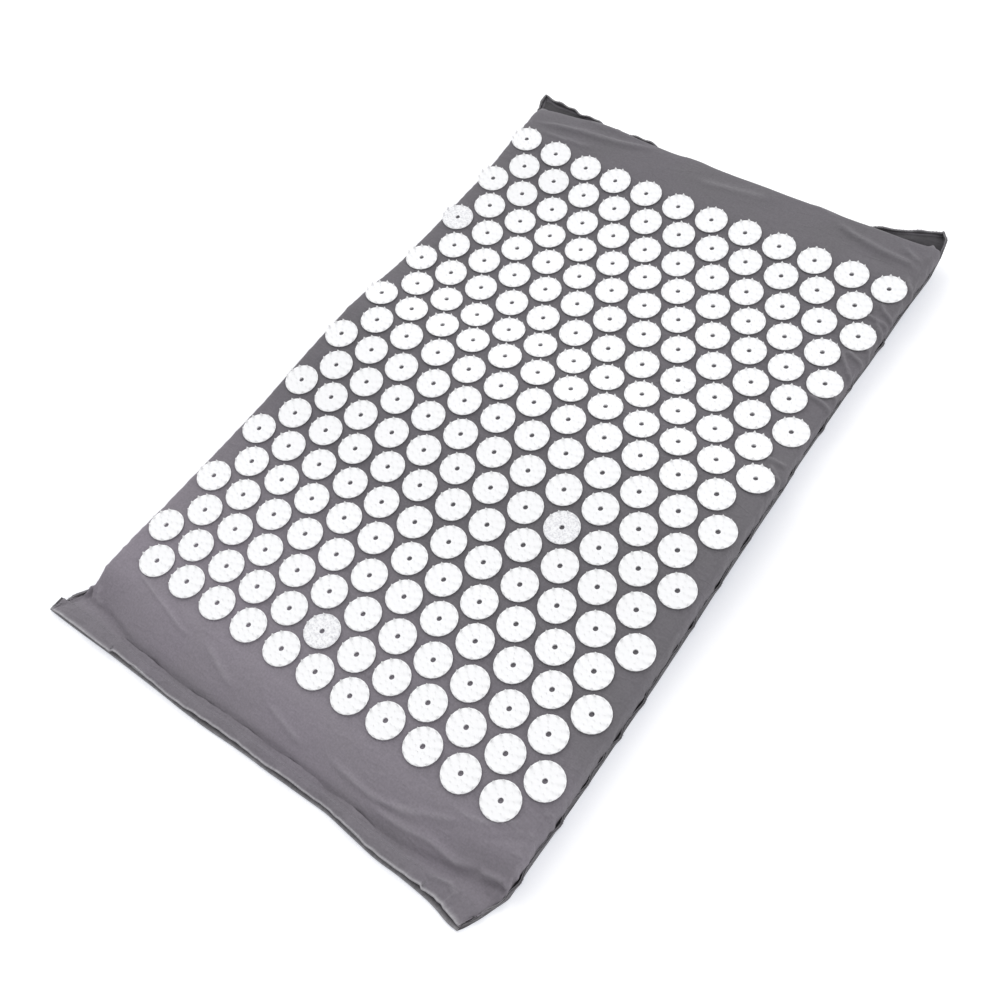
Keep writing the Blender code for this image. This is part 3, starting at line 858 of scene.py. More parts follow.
@dataclass(frozen=True)
class PlasticFinish(Finish):
    """Moulded white plastic with moulding grain; a few pieces are duller."""

    name: str = "white_rosette_plastic"
    colour: Colour = (0.94, 0.94, 0.95, 1.0)
    dull: Colour = (0.74, 0.74, 0.77, 1.0)

    def make(self, board: Board) -> bpy.types.Material:
        """Grain: fine noise in the height, and speckles where the mesh says that a piece is dull."""
        speckle = board.noise(board.coordinates("Object"), 700.0, 3.0)
        share = board.math("MULTIPLY", board.attribute("dull"),
                           board.between(speckle, 0.45, 0.62, 0.0, 1.0))
        return board.finish(Base_Color=board.mix(share, self.colour, self.dull), Roughness=0.45,
                            Specular_IOR_Level=0.35, Normal=board.bump(speckle, 0.00003, 0.4))


@dataclass(frozen=True)
class Lines:
    """Grid lines of one direction of a cloth: their place, share of height, slope and hem fold.

    flat is the unrolled place, which the folds are laid out in. out and drop carry a line of a
    folded hem away from its place, along the mat and down.
    """

    place: Grid
    share: Grid
    flat: Grid
    ramp: Grid
    out: Grid
    drop: Grid

    @classmethod
    def plain(cls, place: Grid, share: Grid | float = 1.0, flat: Grid | None = None,
              ramp: Grid | float = 1.0) -> Lines:
        """Lines with no hem, unrolled where they are unless flat says otherwise."""
        none = np.zeros(len(place))
        return cls(place, none + share, place if flat is None else flat, none + ramp, none, none)

    def then(self, *others: Lines) -> Lines:
        """These lines and others after them, without the one that two neighbours share."""
        runs = (self, *others)
        return Lines(*(joined(*(getattr(run, field.name) for run in runs)) for field in fields(self)))


def hem_turn(radius: float, depth: float, steps: int = 5, back_steps: int = 4) -> tuple[Grid, Grid]:
    """A turned hem's section: half a circle round the fold, then straight back.

    Args:
        radius: of the half circle.
        depth: how far back the hem reaches.
        steps: on the half circle.
        back_steps: on the straight run.

    Returns:
        How far out and how far down each line of the hem goes.
    """
    angle = np.linspace(0, math.pi, steps + 1)
    back = np.linspace(0, depth, back_steps + 1)
    rise = joined(radius * (1 - np.cos(angle)), 0 * back + 2 * radius)
    return joined(radius * np.sin(angle), -back), rise


FOLDS = (
    # long soft wrinkles on the far margin
    Fold(((-196, 279), (-168, 283), (-143, 285), (-106, 289), (-66, 297)), 2.4, 2.9),
    Fold(((-160, 296), (-132, 300), (-98, 304)), 2.2, 1.1),
    Fold(((-50, 302), (-18, 305)), 2.8, 0.6),
    Fold(((-150, 290), (-90, 296), (-40, 301)), 3.5, -1.3),
    Fold(((-186, 270), (-150, 273), (-122, 276)), 2.0, 1.3),
    Fold(((-30, 283), (20, 288), (60, 292)), 3.3, 1.2),
    # ridges towards the far right corner
    Fold(((84, 304), (116, 297)), 3.0, 0.7),
    Fold(((108, 293), (135, 287), (162, 283), (191, 281), (206, 273)), 2.2, 2.9),
    Fold(((120, 283), (150, 276), (185, 274)), 3.3, -1.3),
    Fold(((176, 292), (200, 284)), 2.0, 2.3),
    Fold(((194, 313), (199, 300), (201, 284)), 2.0, 2.1),
    # short folds from the outer rosettes to the right edge
    Fold(((194, 270), (203, 262), (212, 252)), 2.0, 3),
    Fold(((190, 264), (200, 254), (210, 246)), 1.8, -1.5),
    Fold(((188, 238), (198, 229), (211, 222)), 2.0, 3.1),
    Fold(((180, 223), (194, 220), (211, 217)), 1.8, 2.6),
    Fold(((194, 219), (204, 209), (212, 202)), 1.8, 3),
    Fold(((184, 210), (197, 205), (210, 194)), 2.0, -1.5),
    Fold(((187, 182), (203, 175), (213, 172)), 2.0, 2.8),
    Fold(((184, 180), (194, 168), (207, 153)), 1.8, 3),
    Fold(((198, 196), (206, 186), (212, 180)), 1.7, 2.1),
    Fold(((180, 127), (198, 123), (211, 117)), 2.1, 2.8),
    Fold(((192, 140), (205, 132), (212, 128)), 1.8, 2.2),
    Fold(((186, 98), (199, 93), (211, 86)), 2.0, 2.2),
    Fold(((184, 55), (204, 53)), 2.0, 2.6),
    Fold(((190, 50), (207, 35)), 1.8, 3),
    Fold(((188, 42), (207, 24)), 2.0, 2.6),
    Fold(((186, 36), (199, 22), (207, 14)), 1.7, -1.5),
    # near the mouth, right
    Fold(((183, -222), (198, -218)), 1.6, -0.8),
    Fold(((170, -306), (202, -287)), 2.7, -0.8),
    Fold(((45, -318), (89, -321), (109, -319), (134, -315)), 2.0, 1.5),
    Fold(((88, -326), (118, -325), (144, -323), (166, -326), (188, -321)), 2.8, 1.9),
    Fold(((98, -320), (127, -313), (160, -301)), 2.5, 1.2),
    Fold(((98, -323), (112, -320)), 1.4, -1.2),
    Fold(((186, -331), (197, -325), (206, -325)), 2.3, -2.8),
    Fold(((182, -324), (192, -321), (204, -318)), 2.0, 2.4),
    Fold(((150, -343), (172, -339), (186, -346)), 2.4, 1.6),
    Fold(((140, -300), (168, -294), (196, -276)), 3.0, 0.8),
    # near the mouth, left
    Fold(((-186, -288), (-150, -298), (-98, -310)), 1.8, 1.1),
    Fold(((-90, -304), (-44, -319)), 2.6, 1.1),
    Fold(((-20, -312), (30, -322)), 2.4, 0.9),
    Fold(((-206, -322), (-200, -333), (-190, -336)), 1.8, -2.6),
    Fold(((-198, -318), (-193, -327), (-186, -331)), 1.8, 1.6),
    Fold(((-204, -326), (-211, -344)), 1.2, 1.0),
    Fold(((-200, -328), (-206, -348)), 1.2, -0.9),
    # puckers along the seam by the near right corner, and the gathered corner itself
    Fold(((201, -322), (209, -318)), 1.5, 2.0),
    Fold(((184, -338), (181, -347), (183, -357)), 1.8, 0.8),
    Fold(((191, -340), (189, -350), (191, -360)), 1.6, -0.7),
    Fold(((196, -300), (206, -297)), 1.5, 0.9),
    Fold(((197, -285), (207, -281)), 1.4, 0.8),
    Fold(((198, -268), (207, -263)), 1.5, 0.8),
    Fold(((198, -246), (208, -243)), 1.3, 0.7),
    # the crease itself
    Fold(((-190, -332), (-151, -335.5), (-100, -336), (-44, -335.5), (10, -334.5), (71, -335),
          (127, -335.5), (167, -332), (184, -329)), 3.0, -2.6, 0.05),
)


@dataclass
class Sleeve:
    """The cotton sleeve: the cover, the mouth flap and the bottom panel.

    The steps are for grid lines, from the finest places to the flat middle, and the bands are how
    far the fine ones reach in from the edges.
    """

    shape: MatShape
    cotton: CottonFinish
    # painted shade: a darker copy of the cotton, for the bottom panel
    back: CottonFinish
    rosettes: Rosettes
    fine: float = 0.0016
    medium: float = 0.00256
    coarse: float = 0.0044
    plain_from: float = 0.0
    ramp_soft: float = 0.14
    ramp_step: float = 0.0012
    bottom_steps: Place = (0.002, 0.003, 0.006)
    side_band: float = 0.018
    far_band: float = 0.047
    near_band: float = 0.050
    bottom_band: float = 0.06
    edge_lines: int = 11
    notch_step: float = 0.0020
    hem_radius: float = 0.0009
    bottom_hem_radius: float = 0.0002
    # painted highlight: its width along the hem's fold, and its strength and width along the lower hem's
    # fold
    highlight_width: float = 0.0010
    bottom_wear: Pair = (0.6, 0.0005)
    deepest: float = 0.0009
    # painted highlight on fold crests: how strong
    crest_highlight: float = 0.16
    skirt_run: float = 0.012
    far_skirt_share: float = 0.2
    plain_foot: float = 0.125
    flat_ramp: float = 0.02
    # how far round the hem's turn the painted highlight reaches
    highlight_turn: float = 1.3
    lower_lift: float = 0.6
    hem_shares: Pair = (0.3, 0.7)
    cover_ripples: Ripples = Ripples(3, 0.00020, 0.018, 0.070)
    skirt_ripples: Ripples = Ripples(5, 0.00100, 0.006, 0.022)
    hem_ripples: Ripples = Ripples(7, 0.00085, 0.014, 0.080)
    hem_crumple: Ripples = Ripples(23, 0.00030, 0.008, 0.030)
    lower_ripples: Ripples = Ripples(11, 0.00050, 0.025, 0.120)
    hem_back: Line = Line(((-207, 0.4), (-190, 1), (-160, 1.6), (-120, 1), (-90, 0.4), (-60, 0.9),
                           (-30, 1.6), (10, 1.5), (60, 0.8), (100, 0.9), (130, 0.9), (154, 2.4),
                           (175, 4), (200, 3.6), (207, 3)))
    folds: tuple[Fold, ...] = FOLDS

    def rounded_edge(self) -> tuple[Grid, Grid, Grid]:
        """The skirt's lines: how far in, their share of the height, and the cloth left to the top."""
        width, height = self.shape.foam_edge + LAYER, self.shape.cover_top - self.shape.skirt_low
        inward, rise = self.shape.edge_curve(self.edge_lines, width, height)
        arc = arcs(np.stack([inward, rise], axis=-1))
        return inward, rise / height, arc[-1] - arc

    def cover_across(self) -> Lines:
        """The cover's lines along the mat: left skirt, flat, right skirt."""
        half, notch = self.shape.flat_half, self.shape.mouth_half
        inward, share, left_over = self.rounded_edge()
        right = Lines.plain((self.shape.half_width - inward)[::-1], share[::-1], half + left_over[::-1])
        left = Lines.plain(-right.place[::-1], share, -right.flat[::-1])
        inner = half - self.side_band
        flat = stretches((-half, -inner, -notch, notch, inner, half),
                         (self.fine, self.medium, self.coarse, self.medium, self.fine))
        return left.then(Lines.plain(flat), right)

    def cover_along(self) -> Lines:
        """The cover's lines across the mat, from the far skirt to the crease."""
        shape = self.shape
        inward, share, left_over = self.rounded_edge()
        skirt = Lines.plain(shape.far_edge - inward, share, shape.flat_far + left_over)
        flat = stretches((shape.flat_far, shape.flat_far - self.far_band, self.plain_from,
                          shape.ramp_start + self.near_band, shape.ramp_start),
                         (self.fine, self.fine, self.coarse, self.fine))
        slope = spaced(shape.ramp_start, shape.crease, self.ramp_step)
        step = (shape.ramp_start - slope) / (shape.ramp_start - shape.crease)
        level = np.sqrt(np.cos(math.pi / 2 * step) ** 2 + self.ramp_soft ** 2) - self.ramp_soft
        return skirt.then(Lines.plain(flat), Lines.plain(slope, ramp=level / level[0]))

    def lip_along(self) -> Lines:
        """The lips' lines across the mat, from the crease to the hem and its turned-under end."""
        lip = spaced(self.shape.crease, self.shape.flap_hem, self.ramp_step)
        out, drop = hem_turn(self.hem_radius, self.shape.hem_fold)
        hem, none = np.full(len(out), self.shape.flap_hem), np.zeros(len(out))
        return Lines.plain(lip, ramp=0.0).then(Lines(hem, none + 1, hem, none, out, drop))

    def hem_offset(self, x: Grid) -> Grid:
        """How far the hem stands out of its line: the sewn lips step at the notches."""
        wave, crumple = self.hem_shares
        waves = self.hem_ripples.at(x, 0.3) * wave + self.hem_crumple.at(x, 0.7) * crumple
        step = np.where(np.abs(x) > self.shape.mouth_half, self.notch_step, 0.0)
        return step + waves - self.hem_back.at(x)

    def relief(self, s: Grid, t: Grid, share: Grid) -> tuple[Grid, Grid]:
        """All folds and ripples together.

        Args:
            s: unrolled places across the cloth.
            t: unrolled places along it.
            share: share of the full height there, 0 at the skirt's foot.

        Returns:
            A height for each place, and 1 on a fold's very ridge.
        """
        reliefs = [fold.relief(s, t) for fold in self.folds]
        crest = np.max([fold.crest(relief) for fold, relief in zip(self.folds, reliefs) if fold.height > 0],
                       axis=0)
        on_side = smooth((np.abs(s) - self.shape.flat_half) / self.skirt_run)
        at_far = smooth((t - self.shape.flat_far) / self.skirt_run) * self.far_skirt_share
        skirt = self.skirt_ripples.at(t, s * 0.3) * on_side + self.skirt_ripples.at(s, t * 0.3) * at_far
        relief = self.cover_ripples.at(s, t) + sum(reliefs) + skirt * np.sin(math.pi * np.clip(share, 0, 1))
        relief = relief * smooth(share / self.plain_foot) * self.rosettes.free_cloth(s, t)
        return np.where(t > self.shape.ramp_start, np.maximum(relief, -self.deepest), relief), crest

    def cloth_grid(self, across: Lines, along: Lines) -> tuple[Grid, Grid, Grid]:
        """The upper cloth over some of its lines.

        Formula: the plain cover, plus folds and ripples along its normal, which is straight up on
        the lips, plus the hem's fold, wave and step.

        Args:
            across: the lines along the mat, from left to right.
            along: the lines across the mat, from the far end to the hem.

        Returns:
            Points, unrolled places and the painted highlight, one for each crossing of the lines.
        """
        shape = self.shape
        x, y = across.place[None, :], along.place[:, None]
        ramp, out, drop = along.ramp[:, None], along.out[:, None], along.drop[:, None]
        s, t = np.broadcast_arrays(across.flat[None, :], along.flat[:, None])
        share = across.share[None, :] * along.share[:, None]
        points = shape.cover_points(x, y, share, ramp + 0 * x)
        relief, crest = self.relief(s, t, share)
        lip = y < shape.crease - 1e-6
        normals = np.where((lip | (ramp < self.flat_ramp))[..., None], UP,
                           upright(points) if min(points.shape[:2]) > 1 else UP)
        points = points + normals * relief[..., None]
        beyond = smooth((shape.crease - y) / shape.lip_length)
        wave = self.hem_ripples.at(x, y * 0.2) + self.hem_crumple.at(x, y * 0.5)
        points[..., 1] -= self.hem_offset(x) * beyond + out
        lowest = np.where(drop > self.hem_radius, LAYER, shape.skirt_low) + shape.bend(x, y)
        points[..., 2] = np.maximum(points[..., 2] + wave * beyond - drop, lowest)
        # painted highlight: a light line along the hem's fold, and on fold crests
        from_fold = np.abs(shape.flap_hem - y + out) / self.highlight_width
        wear = np.exp(-from_fold ** 2) * lip * (drop < self.hem_radius * self.highlight_turn)
        return points, unrolled(points), np.maximum(wear, self.crest_highlight * crest)

    def make_cover(self) -> Piece:
        """The top panel: pad cover, skirts, ramp and the two sewn lips beside the mouth."""
        across, along = self.cover_across(), self.cover_along()
        points, uv, wear = self.cloth_grid(across, along.then(self.lip_along()))
        rows, columns = points.shape[:2]
        middle = (across.place[:-1] + across.place[1:]) / 2
        in_mouth = (np.abs(middle) < self.shape.mouth_half)[None, :]
        past_crease = (np.arange(rows - 1) >= len(along.place) - 1)[:, None]
        faces = grid_faces(rows, columns)[~(in_mouth & past_crease).ravel()]
        cover = new_sheet("top_cover", points, upright(points), faces, self.cotton, uv, wear)
        return settle(cover, Body.MAT, Slot.COTTON, "top_panel")

    def make_flap(self) -> Piece:
        """The mouth flap: the middle of the upper lip, which bends up about the crease.

        Its lines are the cover's own and one more between each two. Its first row is the cover's
        last, and its normals are worked out with the slope's last rows, so that the two join.
        """
        shape = self.shape
        lines = len(spaced(-shape.mouth_half, shape.mouth_half, self.coarse))
        along = self.cover_along()
        first = len(along.place) - 1
        points, uv, wear = self.cloth_grid(
            Lines.plain(np.linspace(-shape.mouth_half, shape.mouth_half, 2 * lines - 1)),
            along.then(self.lip_along()))
        points[first, 1:-1:2] = (points[first, :-2:2] + points[first, 2::2]) / 2
        up = upright(points)[first:]
        points = points[first:]
        flap = new_sheet("mouth_flap_cloth", points, up, grid_faces(*points.shape[:2]), self.cotton,
                         uv[first:], wear[first:])
        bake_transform(flap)
        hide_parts("mouth_flap")
        log.info("%s bends between %s and %s", flap.name, Body.MAT.value, Body.FLAP.value)
        return flap

    def make_bottom(self) -> Piece:
        """The bottom panel, which lies on the floor and ends in the lower lip's turned-up hem."""
        shape = self.shape
        half, far = shape.half_width + shape.seam_margin, shape.far_edge + shape.seam_margin
        hem_step, edge_step, step = self.bottom_steps
        notch = shape.mouth_half
        x = stretches((-half, -notch, notch, half), (edge_step, step, edge_step))[None]
        y = stretches((far, far - self.bottom_band, shape.ramp_start, shape.lower_hem),
                      (edge_step, step, hem_step))
        flat = np.zeros(len(y) - 1)
        turn = hem_turn(self.bottom_hem_radius, shape.hem_fold)
        out, rise = (np.append(flat, run)[:, None] for run in turn)
        y = np.append(y, np.full(len(out) - len(y), shape.lower_hem))[:, None]
        moved_x, moved_y, ear = shape.pull(x, y, 0.0)
        wave = self.lower_ripples.at(x, 0.1) * smooth((shape.crease - y) / shape.lip_length)
        z = CLOTH + shape.bend(x, y) + ear + rise + np.maximum(wave, 0.0) * self.lower_lift
        points = shape.placed(moved_x, moved_y - out + wave, z)
        # painted highlight: a light line along the lower hem's fold
        most, width = self.bottom_wear
        wear = most * np.exp(-((out - self.bottom_hem_radius) / width) ** 2) * (out > 0)
        # painted shade: the bottom panel takes the darker copy of the cotton
        bottom = new_sheet("bottom_cloth", points, upright(points), grid_faces(*points.shape[:2]),
                           self.back, unrolled(points), np.broadcast_to(wear, points.shape[:2]))
        return settle(bottom, Body.MAT, Slot.COTTON, "bottom_panel")


@dataclass(frozen=True)
class SeamPath:
    """The line of the seam round three sides, in even steps, with its outward direction."""

    points: Grid
    outward: Grid
    gone: Grid

    @classmethod
    def round_mat(cls, shape: MatShape, margin: float, step: float, hem_gap: float = 0.001) -> SeamPath:
        """From the near right corner round the far end to the near left corner.

        Args:
            shape: the mat's.
            margin: how far outside the skirt the seam lies.
            step: from point to point.
            hem_gap: how far from the lower lip's hem it starts.

        Returns:
            The path on the floor, raised where the mat is.
        """
        half, far = shape.half_width + margin, shape.far_edge + margin
        side_run, end = spaced(shape.lower_hem + hem_gap, far, step), spaced(half, -half, step)
        x = joined(0 * side_run + half, end, 0 * side_run - half)
        y = joined(side_run, 0 * end + far, side_run[::-1])
        moved_x, moved_y, ear = shape.pull(x, y, 0.0)
        points = shape.placed(moved_x, moved_y, shape.bend(x, y) + ear)
        along = unit(np.gradient(points[:, :2], axis=0))
        return cls(points, np.stack([along[:, 1], -along[:, 0], 0 * x], axis=1), arcs(points))


@dataclass
class SideSeam:
    """The seam allowance that stands up along both sides and the far end, overlocked with thread.

    section is the welt's profile in millimetres, outward and up.
    """

    shape: MatShape
    cotton: CottonFinish
    thread: ThreadFinish
    margin: float = 0.0011
    lying: float = 0.55
    lying_run: float = 0.050
    step: float = 0.0022
    stitch_every: float = 0.0031
    thread_radius: float = 0.00022
    loose: float = 1.06
    slant: float = 0.4
    # painted highlight on the welt's top: how strong, and from what share of its height
    highlight_tone: float = 0.55
    worn_from: float = 0.8
    cloth_width: float = 0.012
    section: tuple[Pair, ...] = ((-0.9, 0.3), (-1.0, 3.8), (-0.8, 4.4), (-0.35, 4.5), (-0.1, 3.7),
                                 (0.2, 4.1), (0.6, 4.3), (0.95, 3.9), (1.0, 0.3))
    sway: Ripples = Ripples(17, 0.00130, 0.010, 0.040)
    height_sway: Ripples = Ripples(19, 0.00090, 0.008, 0.036)

    def sections(self, path: SeamPath) -> Grid:
        """The welt's section carried along the path, swaying sideways and in height.

        Args:
            path: the line of the seam.

        Returns:
            A row of points for each point of the path.
        """
        outward, up = np.array(self.section).T * MM
        tall = up / up.max()
        from_end = np.minimum(path.gone, path.gone[-1] - path.gone)
        lying = (1 - self.lying * smooth(1 - from_end / self.lying_run))[:, None]
        aside = outward + self.sway.at(path.gone)[:, None] * tall
        points = path.points[:, None, :] + path.outward[:, None, :] * aside[..., None]
        points[..., 2] += (up + self.height_sway.at(path.gone)[:, None] * tall) * lying
        return points

    def make_welt(self) -> Piece:
        """Two layers of seam allowance, standing on edge."""
        path = SeamPath.round_mat(self.shape, self.margin, self.step)
        points = self.sections(path)
        rows, columns = points.shape[:2]
        up = np.array(self.section)[:, 1]
        # painted highlight: paler along the welt's top
        wear = self.highlight_tone * smooth((up / up.max() - self.worn_from) / (1 - self.worn_from))
        uv = np.stack(np.meshgrid(np.linspace(0, self.cloth_width, columns), path.gone), axis=-1)
        welt = new_piece("seam_welt", points, tube_faces(rows, columns), self.cotton, uv,
                         {"wear": np.broadcast_to(wear, (rows, columns))})
        return settle(welt, Body.MAT, Slot.COTTON, "bottom_panel")

    def make_stitches(self) -> Piece:
        """Overlock stitches: a slanting loop of thread over the welt's top, every few millimetres."""
        path = SeamPath.round_mat(self.shape, self.margin, self.stitch_every)
        loops = self.sections(path)[1:-1, 1:8]
        middle = loops.mean(axis=1, keepdims=True)
        along = np.gradient(path.points, axis=0)[1:-1, None, :]
        slant = np.linspace(-self.slant, self.slant, loops.shape[1])[:, None]
        loops = middle + (loops - middle) * self.loose + along * slant
        return make_threads("overlock_stitches", loops, self.thread_radius, self.thread, Body.MAT)


def make_threads(name: str, paths: Grid, radius: float, finish: ThreadFinish, body: Body,
                 sides: int = 4) -> Piece:
    """Short threads, all of them in one piece.

    Args:
        name: the piece's name.
        paths: for each thread the same number of points, three numbers each.
        radius: of the thread, in metres.
        finish: of the thread.
        body: that it rides on.
        sides: of the thread's section.

    Returns:
        The piece. A ring of points goes round each path, square to it, and the ends are closed.
    """
    along = unit(np.gradient(paths, axis=1))
    steady = np.where(np.abs(along[..., 2:]) > 0.9, (1.0, 0.0, 0.0), UP)
    aside = unit(np.cross(along, steady))
    up = np.cross(aside, along)
    angle = -np.arange(sides)[:, None] * math.tau / sides
    ring = np.cos(angle) * aside[..., None, :] + np.sin(angle) * up[..., None, :]
    count, length = paths.shape[:2]
    faces = repeated(tube_faces(length, sides), count, length * sides)
    return settle(new_piece(name, paths[..., None, :] + ring * radius, faces, finish), body, Slot.COTTON)


@dataclass
class Rosettes:
    """The plastic rosettes: a plate with a raised rim, a hole and three rings of spikes each.

    A ring is its number of spikes, its share of the radius, and the spikes' half size along the
    radius, half size along the rim and height. edge is the plate's section at its rim, from the
    radius and the plate's top. The cloth is flat where it is glued.
    """

    shape: MatShape
    plastic: PlasticFinish
    pitch_across: float = 0.034
    pitch_along: float = 0.0279
    first_row: float = 0.2535
    rows: int = 20
    long_row: int = 12
    single_rows: int = 4
    placing_error: float = 0.0004
    placing_seed: int = 20
    radius: float = 0.0145
    hole: float = 0.0021
    plate: float = 0.0018
    edge: tuple[Pair, ...] = ((-0.0032, -0.0018), (-0.0006, -0.0009), (0.0, -0.0004), (-0.0004, 0.0))
    upward: float = 0.9
    sides: int = 24
    rings: tuple[tuple[int, float, float, float, float], ...] = (
        (12, 0.94, 0.0007, 0.0016, 0.0030), (9, 0.62, 0.0003, 0.0003, 0.0022),
        (6, 0.34, 0.0003, 0.0003, 0.0022))
    glued: float = 0.0125
    glue_edge: float = 0.0040
    seat_share: float = 0.7
    sunk: float = 0.0001
    dull_ones: tuple[tuple[int, int], ...] = ((5, 1), (13, 9), (19, 6))

    def places(self) -> Grid:
        """Row, place in the row, x, y and turn of every rosette, by the CAD's own rule and seed."""
        chance = random.Random(self.placing_seed)
        error, found = self.placing_error, []
        for row in range(self.rows):
            count = self.long_row - row % 2
            for place in range(1, count + 1):
                x = (place - (count + 1) / 2) * self.pitch_across
                y = self.first_row - row * self.pitch_along
                found.append((row + 1, place, x + chance.uniform(-error, error),
                              y + chance.uniform(-error, error), chance.uniform(0.0, math.tau / 12)))
        return np.array(found)

    def free_cloth(self, x: Grid, y: Grid) -> Grid:
        """How free the cloth is to fold.

        Args:
            x: unrolled places across the cloth.
            y: unrolled places along it.

        Returns:
            0 where it is glued flat under a rosette, 1 a few millimetres outside the rim.
        """
        nearest = np.full(np.broadcast(x, y).shape, self.glued + self.glue_edge)
        for middle_x, middle_y in self.places()[:, 2:4]:
            nearest = np.minimum(nearest, np.hypot(x - middle_x, y - middle_y))
        return smooth((nearest - self.glued) / self.glue_edge)

    def template(self) -> tuple[Grid, list[Grid], list[Grid]]:
        """One rosette at the origin: a section turned about Z, and a pyramid for each spike.

        The plastic glows through, so a spike's shading normals are turned most of the way up.

        Returns:
            Its points, its faces by their number of corners, and a normal for each face's corner.
        """
        top, rim, sink = self.plate, self.radius, self.sunk
        section = np.array([(self.hole, 0.0), *(np.array(self.edge) + (rim, top)), (self.hole, top)])
        angle = np.arange(self.sides) * math.tau / self.sides
        plate = np.stack([section[:, :1] * np.cos(angle), section[:, :1] * np.sin(angle),
                          section[:, 1:] + 0 * angle], axis=-1)
        turns = np.concatenate([np.arange(ring[0]) * math.tau / ring[0] for ring in self.rings])[:, None]
        rings = np.repeat(self.rings, [ring[0] for ring in self.rings], axis=0)
        _, share, radial, broad, tall = rings.T[:, :, None]
        out = share * rim + radial * [1, 0, -1, 0, 0]
        aside = broad * [0, 1, 0, -1, 0]
        cos, sin = np.cos(turns), np.sin(turns)
        height = top - sink + (tall + sink) * [0, 0, 0, 0, 1]
        spikes = np.stack([out * cos - aside * sin, out * sin + aside * cos, height], axis=-1)
        start = (plate.size // 3 + np.arange(len(turns)) * 5)[:, None]
        plate_faces = grid_faces(len(section), self.sides, True, True)[:, ::-1]
        flats = np.concatenate([plate_faces, start + [[3, 2, 1, 0]]])
        slopes = np.concatenate([start + [[corner, (corner + 1) % 4, 4]] for corner in range(4)])
        points = np.concatenate([plate.reshape(-1, 3), spikes.reshape(-1, 3)])
        normals = []
        for group, upward in ((flats, 0.0), (slopes, self.upward)):
            first, second, third = (points[group[:, corner]] for corner in range(3))
            normal = unit(np.cross(second - first, third - first))
            normal = unit(normal * (1 - upward) + upward * np.array(UP))
            normals.append(np.repeat(normal, group.shape[1], axis=0))
        return points, [flats, slopes], normals

    def seats(self, x: Grid, y: Grid, turn: Grid) -> tuple[Grid, Grid]:
        """Where rosettes' backs lie: level with the cloth round them.

        Formula: the cloth's mean height and slope a little way out on four sides. The turn about Z
        comes first, then the shortest turn that carries Z to the cloth's normal.

        Args:
            x: places across the mat, one for each rosette.
            y: places along it.
            turn: each rosette's own turn about Z.

        Returns:
            A turning matrix and a place for each rosette.
        """
        reach = self.radius * self.seat_share
        height = self.shape.cover_height
        left, right = height(x - reach, y), height(x + reach, y)
        near, far = height(x, y - reach), height(x, y + reach)
        normal = unit(np.stack([left - right, near - far, 0 * x + 2 * reach], axis=-1))
        a, b, c = normal.T
        tilt = np.array([[1 - a * a / (1 + c), -a * b / (1 + c), a],
                         [-a * b / (1 + c), 1 - b * b / (1 + c), b], [-a, -b, c]])
        cos, sin, zero = np.cos(turn), np.sin(turn), 0 * x
        spin = np.array([[cos, -sin, zero], [sin, cos, zero], [zero, zero, zero + 1]])
        places = self.shape.placed(x, y, (left + right + near + far) / 4) - normal * self.sunk
        return np.einsum("ijn,jkn->nik", tilt, spin), places

    def make(self) -> list[Piece]:
        """One piece for each row, all its rosettes in it."""
        points, groups, normals = self.template()
        places = self.places()
        made = []
        for row in range(1, self.rows + 1):
            _, numbers, x, y, turn = places[places[:, 0] == row].T
            turned, moved = self.seats(x, y, turn)
            placed = np.einsum("nij,kj->nki", turned, points) + moved[:, None, :]
            shading = [np.einsum("nij,kj->nki", turned, normal).reshape(-1, 3) for normal in normals]
            dull = np.array([(row, number) in self.dull_ones for number in numbers], float)
            piece = new_piece(f"rosettes_row_{row:02d}", placed, repeated(groups, len(x), len(points)),
                              self.plastic, values={"dull": np.repeat(dull, len(points))},
                              normals=np.concatenate(shading), faceted=True)
            single = row > self.rows - self.single_rows
            nodes = [f"rosette_{row:02d}_{number:02.0f}" for number in numbers] if single else []
            made.append(settle(piece, Body.MAT, Slot.PLASTIC, *nodes))
        return made


